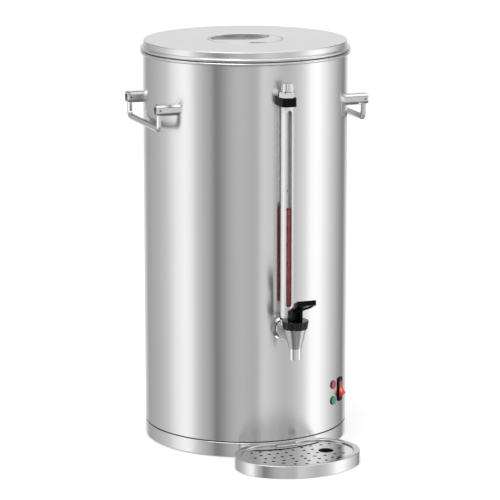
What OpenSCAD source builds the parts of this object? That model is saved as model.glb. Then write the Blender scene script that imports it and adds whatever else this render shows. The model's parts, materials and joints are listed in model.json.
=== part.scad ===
// Coffee urn: a percolating brewer with a tap, a sight gauge, drop handles and a drip tray.
// Millimetres, +Z up. The origin is on the urn's axis at table level. The tap faces -Y.

/* [Body] */
// Outer radius of the body
body_r = 135; // [134:0.25:136]
// Thickness of the outer shell's sheet
shell_t = 1; // [0.8:0.1:1.2]
// Height of the base band's top edge
band_top = 20; // [16:0.5:22]
// Height of the open seam between base band and shell
seam_h = 1.5; // [1:0.1:2]
// Height of the rolled rim's centre
rim_z = 518.3; // [517:0.1:519]
// Radius of the rolled rim's section
bead_r = 2; // [1.5:0.1:2.2]
// Outermost radius of the rolled rim
rim_r = 138.9; // [138:0.1:140]
// Thickness of the rubber foot ring
foot_h = 4; // [3.5:0.5:4.5]

/* [Lid] */
// Height of the lid's top face
lid_top = 533.6; // [532:0.1:536]
// Radius of the lid's top disc
lid_r = 134.2; // [133:0.1:135]
// Radius of the lid's rounded lip
lip_r = 138.5; // [138:0.1:139]
// Radius of the bend round the lid's top edge
lid_bend = 1.4; // [1:0.1:2]
// Radius of the finger recess in the lid
grip_r = 50; // [46:1:54]
// Depth of the finger recess
grip_depth = 17; // [15:0.5:18]
// Angle by which the lid stands turned round the urn
lid_turn = -20.5; // [-45:0.5:45]
// Distance of the grip plate's straight edge in front of the lid's centre
grip_edge = 10; // [6:1:14]
// Radius of the bend at the right end of the finger opening
grip_bend = 35; // [30:1:36]

/* [Tank] */
// Inner radius of the tank
tank_r = 122; // [121:0.5:122.5]
// Height of the tank's inner floor
tank_floor = 100; // [98:1:102]
// Inner radius of the pump well in the tank's floor
well_r = 28; // [27:1:30]
// Depth of the pump well
well_depth = 12; // [11:1:13]
// Height of the basket's floor
basket_z = 397.3; // [390:0.5:400]
// Outer radius of the basket
basket_r = 90; // [85:1:92]
// Height of the basket
basket_h = 64.7; // [60:0.1:66]

/* [Handles] */
// Height of the bail's pivot pins
handle_z = 456.1; // [440:0.1:460]
// Distance between the two posts of one handle
handle_span = 119.6; // [110:0.2:122]
// How far the handles' middle stands from the urn's centre line, along Y
handle_y = -4; // [-6:0.5:6]
// How far a post's outer end stands from the urn's axis
post_end = 147; // [146:0.5:150]
// Width of a post
post_w = 16; // [15:0.5:18]
// Height of a post
post_h = 15; // [14:0.5:16]
// Drop from the pivot pin to the bottom of the bail
bail_drop = 29.1; // [27:0.1:32]
// Width of the bail's bar, seen from the side
bail_w = 7.8; // [7.4:0.1:7.8]
// Thickness of the bail's bar
bail_t = 6; // [5.5:0.1:6]

/* [Tap] */
// Height of the tap's inlet
tap_z = 174; // [172:0.5:176]
// Distance of the spout's axis from the urn's axis
tap_y = 182; // [181:0.5:184]
// Height of the spout's outlet
spout_z = 142.5; // [140:0.5:145]
// Outer radius of the spout
spout_r = 8; // [7.5:0.1:8.5]
// Height of the collar's lower edge
collar_z = 183.25; // [183:0.25:183.5]
// Largest radius of the tap's collar
collar_r = 17.3; // [17:0.1:18]
// Number of flutes round the collar
collar_flutes = 14; // [10:1:16]
// Distance from the spout's axis to the front of the lever
lever_reach = 39; // [36:0.5:42]
// Width of the lever's paddle
paddle_w = 25.6; // [23:0.2:28]

/* [Sight gauge] */
// Distance of the gauge's axis from the urn's axis
gauge_y = 152.5; // [151.5:0.25:153]
// Outer radius of the gauge's metal shield
shield_r = 8.15; // [7.9:0.05:8.3]
// Height of the shield's top
shield_top = 466.5; // [460:0.5:468]
// Width of the window slot
slot_w = 6.8; // [5:0.1:7]
// Height of the window's lower end
slot_low = 206; // [200:1:212]
// Height of the window's upper end
slot_high = 462; // [455:1:463]
// Height of the liquid in the glass
liquid_z = 334; // [200:1:450]

/* [Controls] */
// Angle of the two lamps from the front
lamp_angle = 38.9; // [34:0.1:40]
// Height of the upper lamp
lamp_high = 81.2; // [80:0.1:84]
// Height of the lower lamp
lamp_low = 59.4; // [56:0.1:62]
// Angle of the switch from the front
switch_angle = 47.9; // [47:0.1:52]
// Height of the switch
switch_z = 70.6; // [66:0.1:74]

/* [Drip tray] */
// Distance of the tray's centre from the urn's axis
tray_y = 176.3; // [175:0.1:180]
// Half of the tray's width
tray_a = 84; // [80:0.5:88]
// Half of the tray's depth
tray_b = 63.75; // [61:0.25:66]
// Height of the tray
tray_h = 17; // [16.5:0.5:20]
// Angle by which the tray stands turned round the urn
tray_turn = 2; // [-3:0.5:3]

/* [Hidden] */
$fn = 96;

// Body
shell_in = body_r - shell_t;
shell_base = band_top + seam_h;
band_low = 1.2;
spigot_t = 1;
spigot_h = 4;
band_lip_r = 126;
plate_t = 1.2;
plate_top = foot_h + plate_t;
foot_out = 124;
foot_in = 112;
pillar_r = 5;
pillar_ring = 95;
pillar_angles = [60, 180, 300];
vent_ring = 80;
loom_ring = 110;
loom_r = 3;
// Tank
tank_t = 1;
tank_out = tank_r + tank_t;
tank_low = tank_floor - 1.2;
tank_rim = rim_z - 2;
well_floor = tank_floor - well_depth;
well_low = well_floor - 1.2;
riser_r = 6;
riser_top = 498;
bell_r = 25;
bell_h = 14;
basket_top = basket_z + basket_h;
spreader_r = basket_r + 3.5;
// Lid
lip_low = rim_z + bead_r + 0.7;
lip_section = 2.2;
pan_floor = 507;
pan_r = 119;
seal_low = tank_rim + 1.1;
seal_top = rim_z + 2.2;
dish_floor = lid_top - grip_depth;
grip_ledge = 4;
grip_sheet = 1.2;
grip_lip = 4;
bend_x = -3;
slot_x = [6, 29];
slot_edge = 35;
// Handles
slot_half = bail_w / 2 + 0.2;
slot_back = 138.8;
pin_x = post_end - 4.7;
pin_r = 1.5;
screw_r = 3;
screw_reach = 133;
// Tap
shank_r = 12;
thread_r = 9.9;
hole_r = 10.2;
flange_r = 15.5;
flange_front = 142;
flange_slope = 1.19;
gasket_r = 12.6;
gasket_t = 1.5;
tap_bore = 5.2;
spout_bore = 5.5;
cone_low = 157;
cone_r = 14.5;
cavity_r = 10.5;
seat_z = 168;
neck_r = 12.8;
neck_top = 190.4;
collar_h = 10.75;
collar_top = collar_z + collar_h;
collar_flare = 1.5;
collar_low_r = collar_r - collar_flare;
collar_taper = atan(collar_flare / collar_h);
pivot_z = 202;
hub_half = 7;
hub_slot = 3.7;
foot_z = collar_top + 0.2;
foot_round = 2.5;
stem_r = 2.5;
eye_r = 3.4;
eye_half = 3.2;
wire_r = 0.6;
coil_r = 5.2;
spring_coils = 6;
spring_low = seat_z + 8;
spring_top = neck_top + 0.2;
spring_pitch = (spring_top - spring_low - 2 * wire_r) / (spring_coils - 1);
// Gauge
seat_top = 189.7;
glass_r = 5.5;
glass_top = 489;
nut_low = 478;
nut_top = 485.2;
bracket_half = 9.8;
nut_turn = -9;
cap_low_r = 7.9;
cap_top_r = 7;
cap_h = 10.5;
cap_taper = atan((cap_low_r - cap_top_r) / cap_h);
bracket_front = 162.5;
// Controls
lens_r = 5.9;
lens_edge = 0.9;
lens_dome = 0.8;
rocker_tilt = 16;
rocker_pivot = 3;
rocker_w = 9.8;
bezel_w = 13;
bezel_h = 32;
bezel_front = 1.8;
inlet_z = 48;
// Tray
tray_end_r = 52;
rim_w = 8;
ledge_w = 3;
sheet_t = 1.2;
ledge_z = tray_h - 4.4;
plate_low = ledge_z + sheet_t + 0.1;
drip_top = tray_h - 2;
hug_gap = 1.6;
plate_in = rim_w + 1.4;
// Radius and number of holes of each ring of drain holes
drain_rings = [[48.5, 20], [37, 14], [26, 10], [14.5, 6]];
finger_hole = [39, -3];

// The point at an angle on a circle
function polar(r, a) = [r * cos(a), r * sin(a)];

// A tube standing on z0
module tube(r_out, r_in, z0, z1) {
    translate([0, 0, z0]) difference() {
        cylinder(r = r_out, h = z1 - z0);
        translate([0, 0, -1]) cylinder(r = r_in, h = z1 - z0 + 2);
    }
}

// A cylinder standing on z0
module cylinder_from(r, z0, z1) translate([0, 0, z0]) cylinder(r = r, h = z1 - z0);

// A rod along X from x0 to x1
module rod_x(r, x0, x1, y, z) {
    translate([x0, y, z]) rotate([0, 90, 0]) cylinder(r = r, h = x1 - x0);
}

// A rod along Y from y0 to y1
module rod_y(r, y0, y1, x, z) {
    translate([x, y0, z]) rotate([-90, 0, 0]) cylinder(r = r, h = y1 - y0);
}

// A rectangle with round corners, centred
module round_rect(w, h, r) {
    square([w - 2 * r, h], center = true);
    square([w, h - 2 * r], center = true);
    for (x = [-1, 1], y = [-1, 1])
        translate([x * (w / 2 - r), y * (h / 2 - r)]) circle(r = r);
}

// Something on the body's wall: outwards is -Y, and the angle runs from the front towards +X
module on_wall(angle, z) {
    rotate([0, 0, angle]) translate([0, -body_r, z]) children();
}

// An outline seen from the front, given depth along Y
module along_y(y0, y1) {
    translate([0, y1, 0]) rotate([90, 0, 0]) linear_extrude(y1 - y0) children();
}

// An outline in Y and Z, given a width along X
module along_x(x0, x1) {
    translate([x0, 0, 0]) rotate([90, 0, 90]) linear_extrude(x1 - x0) children();
}

// Four arcs that make an oval, moved in by d
module oval(d) {
    end_r = tray_end_r;
    ends = tray_a - end_r;
    rise = tray_b - end_r;
    drop = (ends * ends - rise * rise) / (2 * rise);
    side_r = tray_b + drop;
    for (s = [-1, 1]) translate([s * ends, 0]) circle(r = end_r - d);
    intersection() {
        translate([0, -drop]) circle(r = side_r - d);
        translate([0, drop]) circle(r = side_r - d);
        square([2 * ends * side_r / (side_r - end_r), 4 * tray_b], center = true);
    }
}

// The tray's outline, moved in by d: an oval whose rear hugs the urn's base
module tray_outline(d) {
    difference() {
        translate([0, -tray_y]) oval(d);
        circle(r = body_r + hug_gap + d);
    }
}

// ---- Body ----

module outer_shell() color("silver") difference() {
    union() {
        tube(body_r, shell_in, shell_base, rim_z);
        translate([0, 0, rim_z]) rotate_extrude() {
            translate([rim_r - bead_r, 0]) circle(r = bead_r);
            translate([shell_in, -0.6]) square([rim_r - bead_r - shell_in, 1.2]);
        }
    }
    rod_y(hole_r, -body_r - 5, -body_r + 5, 0, tap_z);
    rod_y(2.1, -body_r - 5, -body_r + 5, 0, bracket_z());
    for (z = [lamp_high, lamp_low]) on_wall(lamp_angle, z) rod_y(5.1, -5, 5, 0, 0);
    on_wall(switch_angle, switch_z) translate([-5.9, -5, -13.9]) cube([11.8, 12, 27.8]);
    on_wall(180, inlet_z) translate([-14, -5, -10.2]) cube([28, 12, 20.4]);
    for (x = [-1, 1]) on_wall(180, inlet_z) rod_y(1.5, -5, 5, 20 * x, 0);
    for (s = [-1, 1], y = post_places()) {
        on_side(s) rod_x(screw_r, 100, 140, y, handle_z);
    }
}

module base_band() color("silver") {
    tube(body_r, shell_in, band_low, band_top);
    tube(shell_in, shell_in - spigot_t, band_top - 3, shell_base + spigot_h);
    tube(shell_in, band_lip_r, foot_h - plate_t, foot_h);
}

module base_plate() color("gainsboro") difference() {
    translate([0, 0, foot_h]) cylinder(r = shell_in, h = plate_t);
    for (a = [0 : 30 : 330])
        rotate([0, 0, a + 15]) translate([vent_ring, 0, 0]) cylinder(r = 4, h = 20);
    for (a = pillar_angles) rotate([0, 0, a]) translate([0, -pillar_ring, 0]) cylinder(r = 2.1, h = 20);
    translate([-60, 0, 0]) cylinder(r = 4.3, h = 20);
}

module foot_ring() color("dimgray") tube(foot_out, foot_in, 0, foot_h);

module base_pillars() color("silver") for (a = pillar_angles) {
    rotate([0, 0, a]) translate([0, -pillar_ring, plate_top]) difference() {
        cylinder(r = pillar_r, h = tank_low - plate_top);
        translate([0, 0, -1]) cylinder(r = 2, h = 13);
    }
}

module base_screws() color("gray") for (a = pillar_angles) {
    rotate([0, 0, a]) translate([0, -pillar_ring, 0]) {
        translate([0, 0, foot_h - 2.2]) cylinder(r = 3.6, h = 2.2);
        translate([0, 0, foot_h]) cylinder(r = 2, h = 11);
    }
}

// ---- Tank and heating ----

// The tank's wall, with a rim turned out over the shell's edge
module inner_tank() color("lightgray") difference() {
    union() {
        tube(tank_out, tank_r, tank_low, tank_rim + 1);
        tube(shell_in, tank_r, tank_rim, tank_rim + 1);
    }
    rod_y(hole_r, -body_r, -body_r + 30, 0, tap_z);
}

// The tank's pressed bottom with its pump well, welded into the wall
module tank_base() color("lightgray") {
    tube(tank_r, well_r, tank_low, tank_floor);
    tube(well_r + 1.2, well_r, well_low, tank_floor);
    cylinder_from(well_r + 1.2, well_low, well_floor);
}

module main_heater() color("darkgray") {
    translate([0, 0, well_low - 6]) cylinder(r = well_r, h = 6);
    for (x = [-1, 1]) translate([12 * x, 0, well_low - 14]) cylinder(r = 2.5, h = 8);
}

module keep_warm_heater() color("darkgray") tube(78, 62, tank_low - 6, tank_low);

module thermostat() color("gainsboro") translate([0, 45, 0]) {
    translate([0, 0, tank_low - 8]) cylinder(r = 8, h = 8);
    for (x = [-1, 1]) translate([4 * x - 0.4, -2, tank_low - 15]) cube([0.8, 4, 7]);
}

module dry_boil_cutout() color("ivory") translate([-60, 0, 0]) difference() {
    translate([0, 0, plate_top]) cylinder(r = 11, h = 22);
    translate([0, 0, plate_top - 1]) cylinder(r = 4.3, h = 11);
}

module reset_button() color("red") translate([-60, 0, 0]) {
    translate([0, 0, 2.2]) cylinder(r = 4, h = plate_top + 4.8);
}

module terminal_block() color("ivory") translate([-30, 56, plate_top]) difference() {
    cube([60, 20, 16]);
    for (x = [10 : 10 : 50]) translate([x, 10, 8]) cylinder(r = 2.4, h = 10);
}

// The wires, tied into a ring that lies on the base plate
module wiring_loom() color("white") translate([0, 0, plate_top + loom_r])
    rotate_extrude() translate([loom_ring, 0]) circle(r = loom_r, $fn = 24);

// What lies inside the body's outer face, seen from a place on the wall
module wall_inside() translate([0, body_r, -40]) cylinder(r = body_r, h = 80);

module power_inlet() color("#222222") on_wall(180, inlet_z) difference() {
    union() {
        difference() {
            along_y(-3, 3) round_rect(48, 27, 5);
            wall_inside();
        }
        translate([-13.8, -0.5, -10]) cube([27.6, 22.5, 20]);
    }
    translate([-12.3, -5, -8.6]) cube([24.6, 21, 17.2]);
    for (x = [-1, 1]) rod_y(1.5, -5, 8, 20 * x, 0);
}

module inlet_blades() color("gold") on_wall(180, inlet_z) {
    for (x = [-7, 7]) translate([x - 1, 2, -5]) cube([2, 14, 4]);
    translate([-1, 2, -1]) cube([2, 14, 4]);
}

module inlet_screws() color("gray") on_wall(180, inlet_z) for (x = [-1, 1]) {
    rod_y(2.8, -4.6, -3, 20 * x, 0);
    rod_y(1.5, -3, 6, 20 * x, 0);
}

// ---- Lid ----

module lid_cover() color("whitesmoke") rotate_extrude() difference() {
    union() {
        translate([0, lid_top - 8]) square([lid_r - lid_bend, 8]);
        translate([0, lip_low]) square([lid_r, lid_top - lid_bend - lip_low]);
        translate([lid_r - lid_bend, lid_top - lid_bend]) circle(r = lid_bend);
        translate([lip_r - lip_section, lip_low + lip_section]) circle(r = lip_section);
        translate([lid_r - 2, lip_low]) square([lip_r - lip_section - lid_r + 2, 2 * lip_section]);
    }
    translate([-1, lip_low - 1]) square([lid_r - 1, lid_top - lip_low]);
    translate([-1, lip_low - 1]) square([grip_r + 1, 40]);
}

module lid_grip_dish() color("lightgray") {
    tube(grip_r, grip_r - 1, dish_floor, lid_top);
    translate([0, 0, dish_floor]) cylinder(r = grip_r - 1, h = 1);
}

// The plate's finger opening, grown by d: a straight front edge with a wide bend at its right end
module finger_opening(d) intersection() {
    circle(r = grip_r - grip_ledge + d);
    union() {
        translate([-grip_r, -grip_edge - d]) square([grip_r + bend_x, 2 * grip_r]);
        translate([bend_x, grip_bend - grip_edge]) circle(r = grip_bend + d);
    }
}

// The narrow opening at the plate's front
module drain_slot() intersection() {
    circle(r = grip_r - grip_ledge);
    translate([slot_x[0], -grip_r]) square([slot_x[1] - slot_x[0], grip_r - slot_edge]);
}

// A flush plate over the recess, with a lip bent down round the finger opening
module lid_grip_plate() color("whitesmoke") rotate([0, 0, lid_turn]) {
    translate([0, 0, lid_top - grip_sheet]) linear_extrude(grip_sheet) difference() {
        circle(r = grip_r - 1);
        finger_opening(0);
        drain_slot();
    }
    translate([0, 0, lid_top - grip_lip]) linear_extrude(grip_lip) difference() {
        finger_opening(1);
        finger_opening(0);
    }
}

module lid_pan() color("lightgray") {
    tube(lid_r - 2, pan_r, seal_top, seal_top + 1);
    tube(pan_r + 1, pan_r, pan_floor, seal_top + 1);
    translate([0, 0, pan_floor]) cylinder(r = pan_r, h = 1);
}

module lid_seal() color("white") tube(131, 124, seal_low, seal_top);

// ---- Brewing insert ----

module riser_tube() color("silver") difference() {
    union() {
        translate([0, 0, well_floor + 0.3]) cylinder(r = bell_r, h = bell_h);
        cylinder_from(riser_r, well_floor + 2, riser_top);
        cylinder_from(10, basket_z - 3.3, basket_z - 0.3);
    }
    translate([0, 0, well_floor - 1]) cylinder(r = bell_r - 1, h = bell_h);
    cylinder_from(riser_r - 1, well_floor - 1, riser_top + 1);
}

module filter_basket() color("silver") difference() {
    union() {
        tube(basket_r, basket_r - 1, basket_z, basket_top);
        tube(basket_r + 3, basket_r - 1, basket_top - 1.2, basket_top);
        cylinder_from(basket_r, basket_z, basket_z + 1);
        cylinder_from(8, basket_z, basket_z + 42);
    }
    cylinder_from(riser_r + 0.4, basket_z - 1, basket_top);
    hole_rings([24, 40, 56, 72], basket_z);
}

module spreader_cover() color("silver") difference() {
    union() {
        cylinder_from(spreader_r, basket_top + 0.3, basket_top + 1.3);
        tube(spreader_r, spreader_r - 1, basket_top + 0.3, basket_top + 5);
        cylinder_from(9, basket_top + 0.3, basket_top + 8);
    }
    cylinder_from(riser_r + 0.4, basket_top - 1, basket_top + 10);
    hole_rings([32, 56, 80], basket_top);
}

module hole_rings(rings, z) for (r = rings, i = [0 : 11])
    rotate([0, 0, 30 * i]) translate([r, 0, z - 1]) cylinder(r = 1.8, h = 4, $fn = 24);

// ---- Handles ----

function post_places() = [handle_y - handle_span / 2, handle_y + handle_span / 2];

// Height of the flat inner face of a post's saddle, measured along X
function saddle_x(y) = sqrt(pow(tank_out, 2) - pow(abs(y) - 4.5, 2)) + 4.2;

// The +X side as modelled, or its mirror image
module on_side(s) {
    if (s > 0) children();
    else mirror([1, 0, 0]) children();
}

module handle_post(s, y) color("silver") on_side(s) difference() {
    intersection() {
        along_x(100, post_end) translate([y, handle_z]) round_rect(post_w, post_h, 4.6);
        linear_extrude(600) translate([post_end - 40, y]) round_rect(80, post_w, 3);
    }
    translate([0, 0, handle_z - 20]) cylinder(r = body_r, h = 40);
    translate([slot_back, y - slot_half, handle_z - 20]) cube([20, 2 * slot_half, 20]);
    translate([slot_back, y - slot_half, handle_z - 1]) cube([20, 2 * slot_half, 4.6]);
    rod_y(pin_r, y - 10, y + 10, pin_x, handle_z);
    rod_x(screw_r, 100, screw_reach, y, handle_z);
}

module left_front_post() handle_post(-1, post_places()[0]);
module left_rear_post() handle_post(-1, post_places()[1]);
module right_front_post() handle_post(1, post_places()[0]);
module right_rear_post() handle_post(1, post_places()[1]);

module handle_saddles() color("gray") for (s = [-1, 1], y = post_places()) on_side(s)
    difference() {
        intersection() {
            translate([saddle_x(y), y - 9, handle_z - 10]) cube([30, 18, 20]);
            cylinder(r = shell_in, h = 600);
        }
        rod_x(screw_r, 90, 140, y, handle_z);
    }

// The screws of the four posts and of the gauge's bracket
module shell_screws() color("gray") {
    for (s = [-1, 1], y = post_places()) on_side(s) {
        rod_x(screw_r, saddle_x(y), screw_reach - 1, y, handle_z);
        rod_x(4.5, saddle_x(y) - 3.5, saddle_x(y), y, handle_z);
    }
    rod_y(2.1, -gauge_y + 10, -shell_in + 1, 0, bracket_z());
    rod_y(4, -shell_in + 0.1, -shell_in + 3, 0, bracket_z());
}

module bail_pins() color("darkgray") for (s = [-1, 1], y = post_places()) on_side(s)
    rod_y(pin_r, y - post_w / 2 + 0.4, y + post_w / 2 - 0.4, pin_x, handle_z);

// A U of flat bar: two arms with round pivot ends and a crossbar
module bail(s) color("silver") on_side(s) difference() {
    union() {
        along_x(pin_x - bail_t / 2, pin_x + bail_t / 2) bail_outline();
        for (y = post_places())
            rod_y(bail_t / 2, y - bail_w / 2, y + bail_w / 2, pin_x, handle_z);
    }
    for (y = post_places()) rod_y(pin_r + 0.06, y - 10, y + 10, pin_x, handle_z);
}

module bail_outline() translate([handle_y, 0]) {
    width = handle_span + bail_w;
    low = handle_z - bail_drop;
    difference() {
        union() {
            translate([0, low + 20]) round_rect(width, 40, 9);
            translate([-width / 2, low + 10]) square([width, bail_drop - 10]);
        }
        translate([0, low + bail_w + 20]) round_rect(width - 2 * bail_w, 40, 4);
        translate([-width / 2 - 1, handle_z]) square([width + 2, 40]);
    }
}

module left_bail() bail(-1);
module right_bail() bail(1);

// ---- Sight gauge ----

function bracket_z() = (shield_top + nut_low) / 2;

module gauge_shield() color("silver") translate([0, -gauge_y, 0]) difference() {
    tube(shield_r, shield_r - 1.2, seat_top + 1.5, shield_top);
    translate([-slot_w / 2, -20, slot_low + slot_w / 2])
        cube([slot_w, 40, slot_high - slot_low - slot_w]);
    for (z = [slot_low + slot_w / 2, slot_high - slot_w / 2]) rod_y(slot_w / 2, -20, 20, 0, z);
}

module gauge_glass() color("lightcyan") translate([0, -gauge_y, 0])
    tube(glass_r, glass_r - 1.1, tap_z + 8.5, glass_top);

module gauge_liquid() color("#7a2018") translate([0, -gauge_y, 0])
    cylinder_from(glass_r - 1.1, tap_z + 8.5, liquid_z);

module gauge_seals() color("#1a1a1a") translate([0, -gauge_y, 0]) {
    tube(9.2, glass_r + 0.1, seat_top, seat_top + 1.5);
    tube(7.6, glass_r, nut_low, nut_low + 2);
}

module gauge_bracket() color("#1a1a1a") difference() {
    translate([0, 0, shield_top]) linear_extrude(nut_low - shield_top) difference() {
        translate([0, -bracket_front + 30]) round_rect(2 * bracket_half, 60, 4);
        circle(r = body_r);
    }
    translate([0, -gauge_y, 0]) cylinder_from(glass_r + 0.1, shield_top - 1, nut_low + 1);
    rod_y(2.1, -gauge_y + 9.5, -body_r + 5, 0, bracket_z());
}

module gauge_nut() color("silver") translate([0, -gauge_y, nut_low]) difference() {
    intersection() {
        rotate([0, 0, nut_turn]) cylinder(r = 10.7, h = nut_top - nut_low, $fn = 6);
        cylinder(r1 = 12.2, r2 = 9.9, h = nut_top - nut_low);
    }
    translate([0, 0, -1]) cylinder(r = 7.6, h = 3);
    translate([0, 0, -1]) cylinder(r = glass_r + 0.1, h = 20);
}

module gauge_cap() color("silver") translate([0, -gauge_y, nut_top + 0.3]) difference() {
    cylinder(r1 = cap_low_r, r2 = cap_top_r, h = cap_h);
    translate([0, 0, -1]) cylinder(r = glass_r + 0.5, h = 6);
    translate([0, 0, 2]) cylinder(r = 1.2, h = 10);
    for (i = [0 : 11]) rotate([0, 0, 30 * i + 15]) translate([cap_low_r + 0.6, 0, 1.4])
        rotate([0, -cap_taper, 0]) cylinder(r = 1.3, h = 12, $fn = 24);
}

// ---- Tap ----

// The wall plate: a flat rim, a sloping face and a recess that takes the gasket
module tap_flange() color("silver") difference() {
    intersection() {
        rod_y(flange_r, -flange_front, -body_r + 3, 0, tap_z);
        translate([0, -flange_front, tap_z]) rotate([-90, 0, 0])
            cylinder(r1 = gasket_r + 0.6, r2 = gasket_r + 0.6 + 12 * flange_slope, h = 12);
    }
    cylinder_from(body_r, tap_z - 30, tap_z + 30);
    rod_y(hole_r, -body_r - 10, -body_r + 10, 0, tap_z);
    rod_y(gasket_r + 0.1, -flange_front - 1, -flange_front + gasket_t, 0, tap_z);
}

module tap_gaskets() color("#1a1a1a") {
    difference() {
        rod_y(gasket_r, -flange_front, -flange_front + gasket_t, 0, tap_z);
        rod_y(thread_r, -body_r - 10, -body_r, 0, tap_z);
    }
    difference() {
        intersection() {
            rod_y(16, -tank_r - 1, -tank_r + 3, 0, tap_z);
            cylinder_from(tank_r, tap_z - 30, tap_z + 30, $fn = 360);
        }
        rod_y(thread_r, -body_r, -100, 0, tap_z);
    }
}

module tap_spacer() color("white") difference() {
    intersection() {
        rod_y(14, -body_r, -tank_r + 2, 0, tap_z);
        tube(shell_in, tank_out, tap_z - 20, tap_z + 20);
    }
    rod_y(hole_r, -body_r - 1, -100, 0, tap_z);
}

module tap_locknut() color("silver") difference() {
    translate([0, -tank_r + 3, tap_z]) rotate([-90, 0, 0]) cylinder(r = 17, h = 6, $fn = 6);
    rod_y(thread_r, -body_r, -100, 0, tap_z);
}

// The tap's casting: a shank through the wall, a seat for the gauge and a tapered valve body
module tap_body() color("silver") difference() {
    union() {
        rod_y(thread_r, -flange_front, -tank_r + 11, 0, tap_z);
        difference() {
            rod_y(shank_r, -tap_y, -flange_front, 0, tap_z);
            translate([0, -tap_y, 0]) cylinder_from(collar_r + 0.5, collar_z - 0.4, collar_top);
        }
        translate([0, -gauge_y, 0]) cylinder_from(9.2, tap_z + 4, seat_top);
        translate([0, -tap_y, 0]) {
            cylinder_from(spout_r, spout_z, cone_low + 1);
            translate([0, 0, cone_low])
                cylinder(r1 = spout_r, r2 = cone_r, h = collar_z - cone_low);
            cylinder_from(neck_r, collar_z - 1, neck_top);
        }
    }
    rod_y(tap_bore, -tap_y + 4, -100, 0, tap_z);
    translate([0, -gauge_y, 0]) cylinder_from(3, tap_z, seat_top + 1);
    translate([0, -gauge_y, 0]) cylinder_from(glass_r + 0.1, tap_z + 8.4, seat_top + 1);
    translate([0, -tap_y, 0]) {
        cylinder_from(spout_bore, spout_z - 1, seat_z + 1);
        cylinder_from(cavity_r, seat_z, neck_top + 1);
    }
}

module tap_seat_cup() color("ivory") translate([0, -tap_y, 0]) difference() {
    cylinder_from(8.4, seat_z + 0.1, seat_z + 8);
    cylinder_from(stem_r, seat_z + 4, seat_z + 12);
}

// The stem and the flat eye on its top end
module tap_stem() color("silver") translate([0, -tap_y, 0]) difference() {
    union() {
        cylinder_from(stem_r, seat_z + 4, pivot_z - 2);
        rod_x(eye_r, -eye_half, eye_half, 0, pivot_z);
        translate([-eye_half, -stem_r, foot_z + 0.2])
            cube([2 * eye_half, 2 * stem_r, pivot_z - foot_z - 0.2]);
    }
    rod_x(pin_r + 0.06, -20, 20, 0, pivot_z);
}

// The closed coils of the closing spring
module tap_spring() color("gray") translate([0, -tap_y, 0])
    for (i = [0 : spring_coils - 1]) translate([0, 0, spring_low + wire_r + i * spring_pitch])
        rotate_extrude() translate([coil_r, 0]) circle(r = wire_r, $fn = 24);

module tap_collar() color("#1a1a1a") translate([0, -tap_y, 0]) difference() {
    translate([0, 0, collar_z]) cylinder(r1 = collar_low_r, r2 = collar_r, h = collar_h);
    cylinder_from(neck_r + 0.1, collar_z - 1, neck_top + 0.2);
    cylinder_from(stem_r + 0.06, collar_z, collar_top + 1);
    for (i = [0 : collar_flutes - 1]) rotate([0, 0, 360 * (i + 0.5) / collar_flutes])
        translate([collar_low_r + 1.2, 0, collar_z]) rotate([0, collar_taper, 0])
            translate([0, 0, -3]) cylinder(r = 2.4, h = 20);
}

module lever_pin() color("silver") rod_x(pin_r, -hub_half, hub_half, -tap_y, pivot_z);

// One moulding: a hub that straddles the stem's eye, a neck and a wide paddle.
// Pressed down, it rolls on the round front edge of its foot and lifts the stem.
module tap_lever() color("#1a1a1a") translate([0, -tap_y, 0]) difference() {
    union() {
        along_x(-hub_half, hub_half) {
            difference() {
                hub_side();
                translate([-8.4, foot_z - 1]) square(foot_round + 1);
            }
            translate([foot_round - 8.3, foot_z + foot_round]) circle(r = foot_round);
        }
        intersection() {
            along_x(-30, 30) paddle_side();
            linear_extrude(300) paddle_plan();
        }
    }
    rod_x(pin_r, -20, 20, 0, pivot_z);
    translate([-hub_slot, -20, foot_z - 5]) cube([2 * hub_slot, 24, pivot_z + 3.8 - foot_z + 5]);
}

// Side view of the hub, measured from the spout's axis
module hub_side() polygon([
    [-8.3, foot_z], [7.8, foot_z], [7.8, 204.6], [-4, 211], [-8.3, 213.3]
]);

// Side view of the neck and paddle
module paddle_side() polygon([
    [-3, 206.6], [-8.3, 206.6], [-lever_reach - 0.6, 221.8],
    [-lever_reach, 228.2], [-23, 221.2], [-4, 211]
]);

// Half of the neck and paddle from above, and its mirror image
module paddle_plan() {
    half = [
        [6.2, -3], [6.2, -12], [7.6, -16.5], [10.6, -20.5], [12, -24],
        [paddle_w / 2, -lever_reach - 2]
    ];
    polygon([for (p = half) p, for (i = [len(half) - 1 : -1 : 0]) [-half[i][0], half[i][1]]]);
}

// ---- Controls ----

module switch_housing() color("#1a1a1a") on_wall(switch_angle, switch_z) difference() {
    union() {
        difference() {
            along_y(-bezel_front, 4) round_rect(bezel_w, bezel_h, 2.5);
            wall_inside();
        }
        translate([-5.8, -1, -13.8]) cube([11.6, 21, 27.6]);
    }
    translate([-rocker_w / 2 - 0.3, -5, -12.5]) cube([rocker_w + 0.6, 16, 25]);
}

module switch_rocker() color("#c83048") on_wall(switch_angle, switch_z) {
    translate([0, rocker_pivot, 0]) rotate([-rocker_tilt, 0, 0])
        along_x(-rocker_w / 2, rocker_w / 2) rocker_side();
}

// Side view of the rocker, measured from its pivot: a face with a shallow valley, and round ends
module rocker_side() {
    half = [[-6, 0], [-8, 8.9], [-4, 11.6], [-1, 12.2], [4, 5]];
    polygon([for (p = half) p, for (i = [len(half) - 1 : -1 : 1]) [half[i][0], -half[i][1]]]);
}

// A lamp's barrel, and its lens with a sloping edge
module lamp(z) on_wall(lamp_angle, z) {
    rod_y(5, -0.5, 20, 0, 0);
    difference() {
        rod_y(lens_r, -lens_edge, 2, 0, 0);
        wall_inside();
    }
    translate([0, -lens_edge, 0]) rotate([90, 0, 0])
        cylinder(r1 = lens_r, r2 = lens_r - 1, h = lens_dome);
}

module red_lamp() color("red") lamp(lamp_high);
module green_lamp() color("green") lamp(lamp_low);

// ---- Drip tray ----

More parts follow.
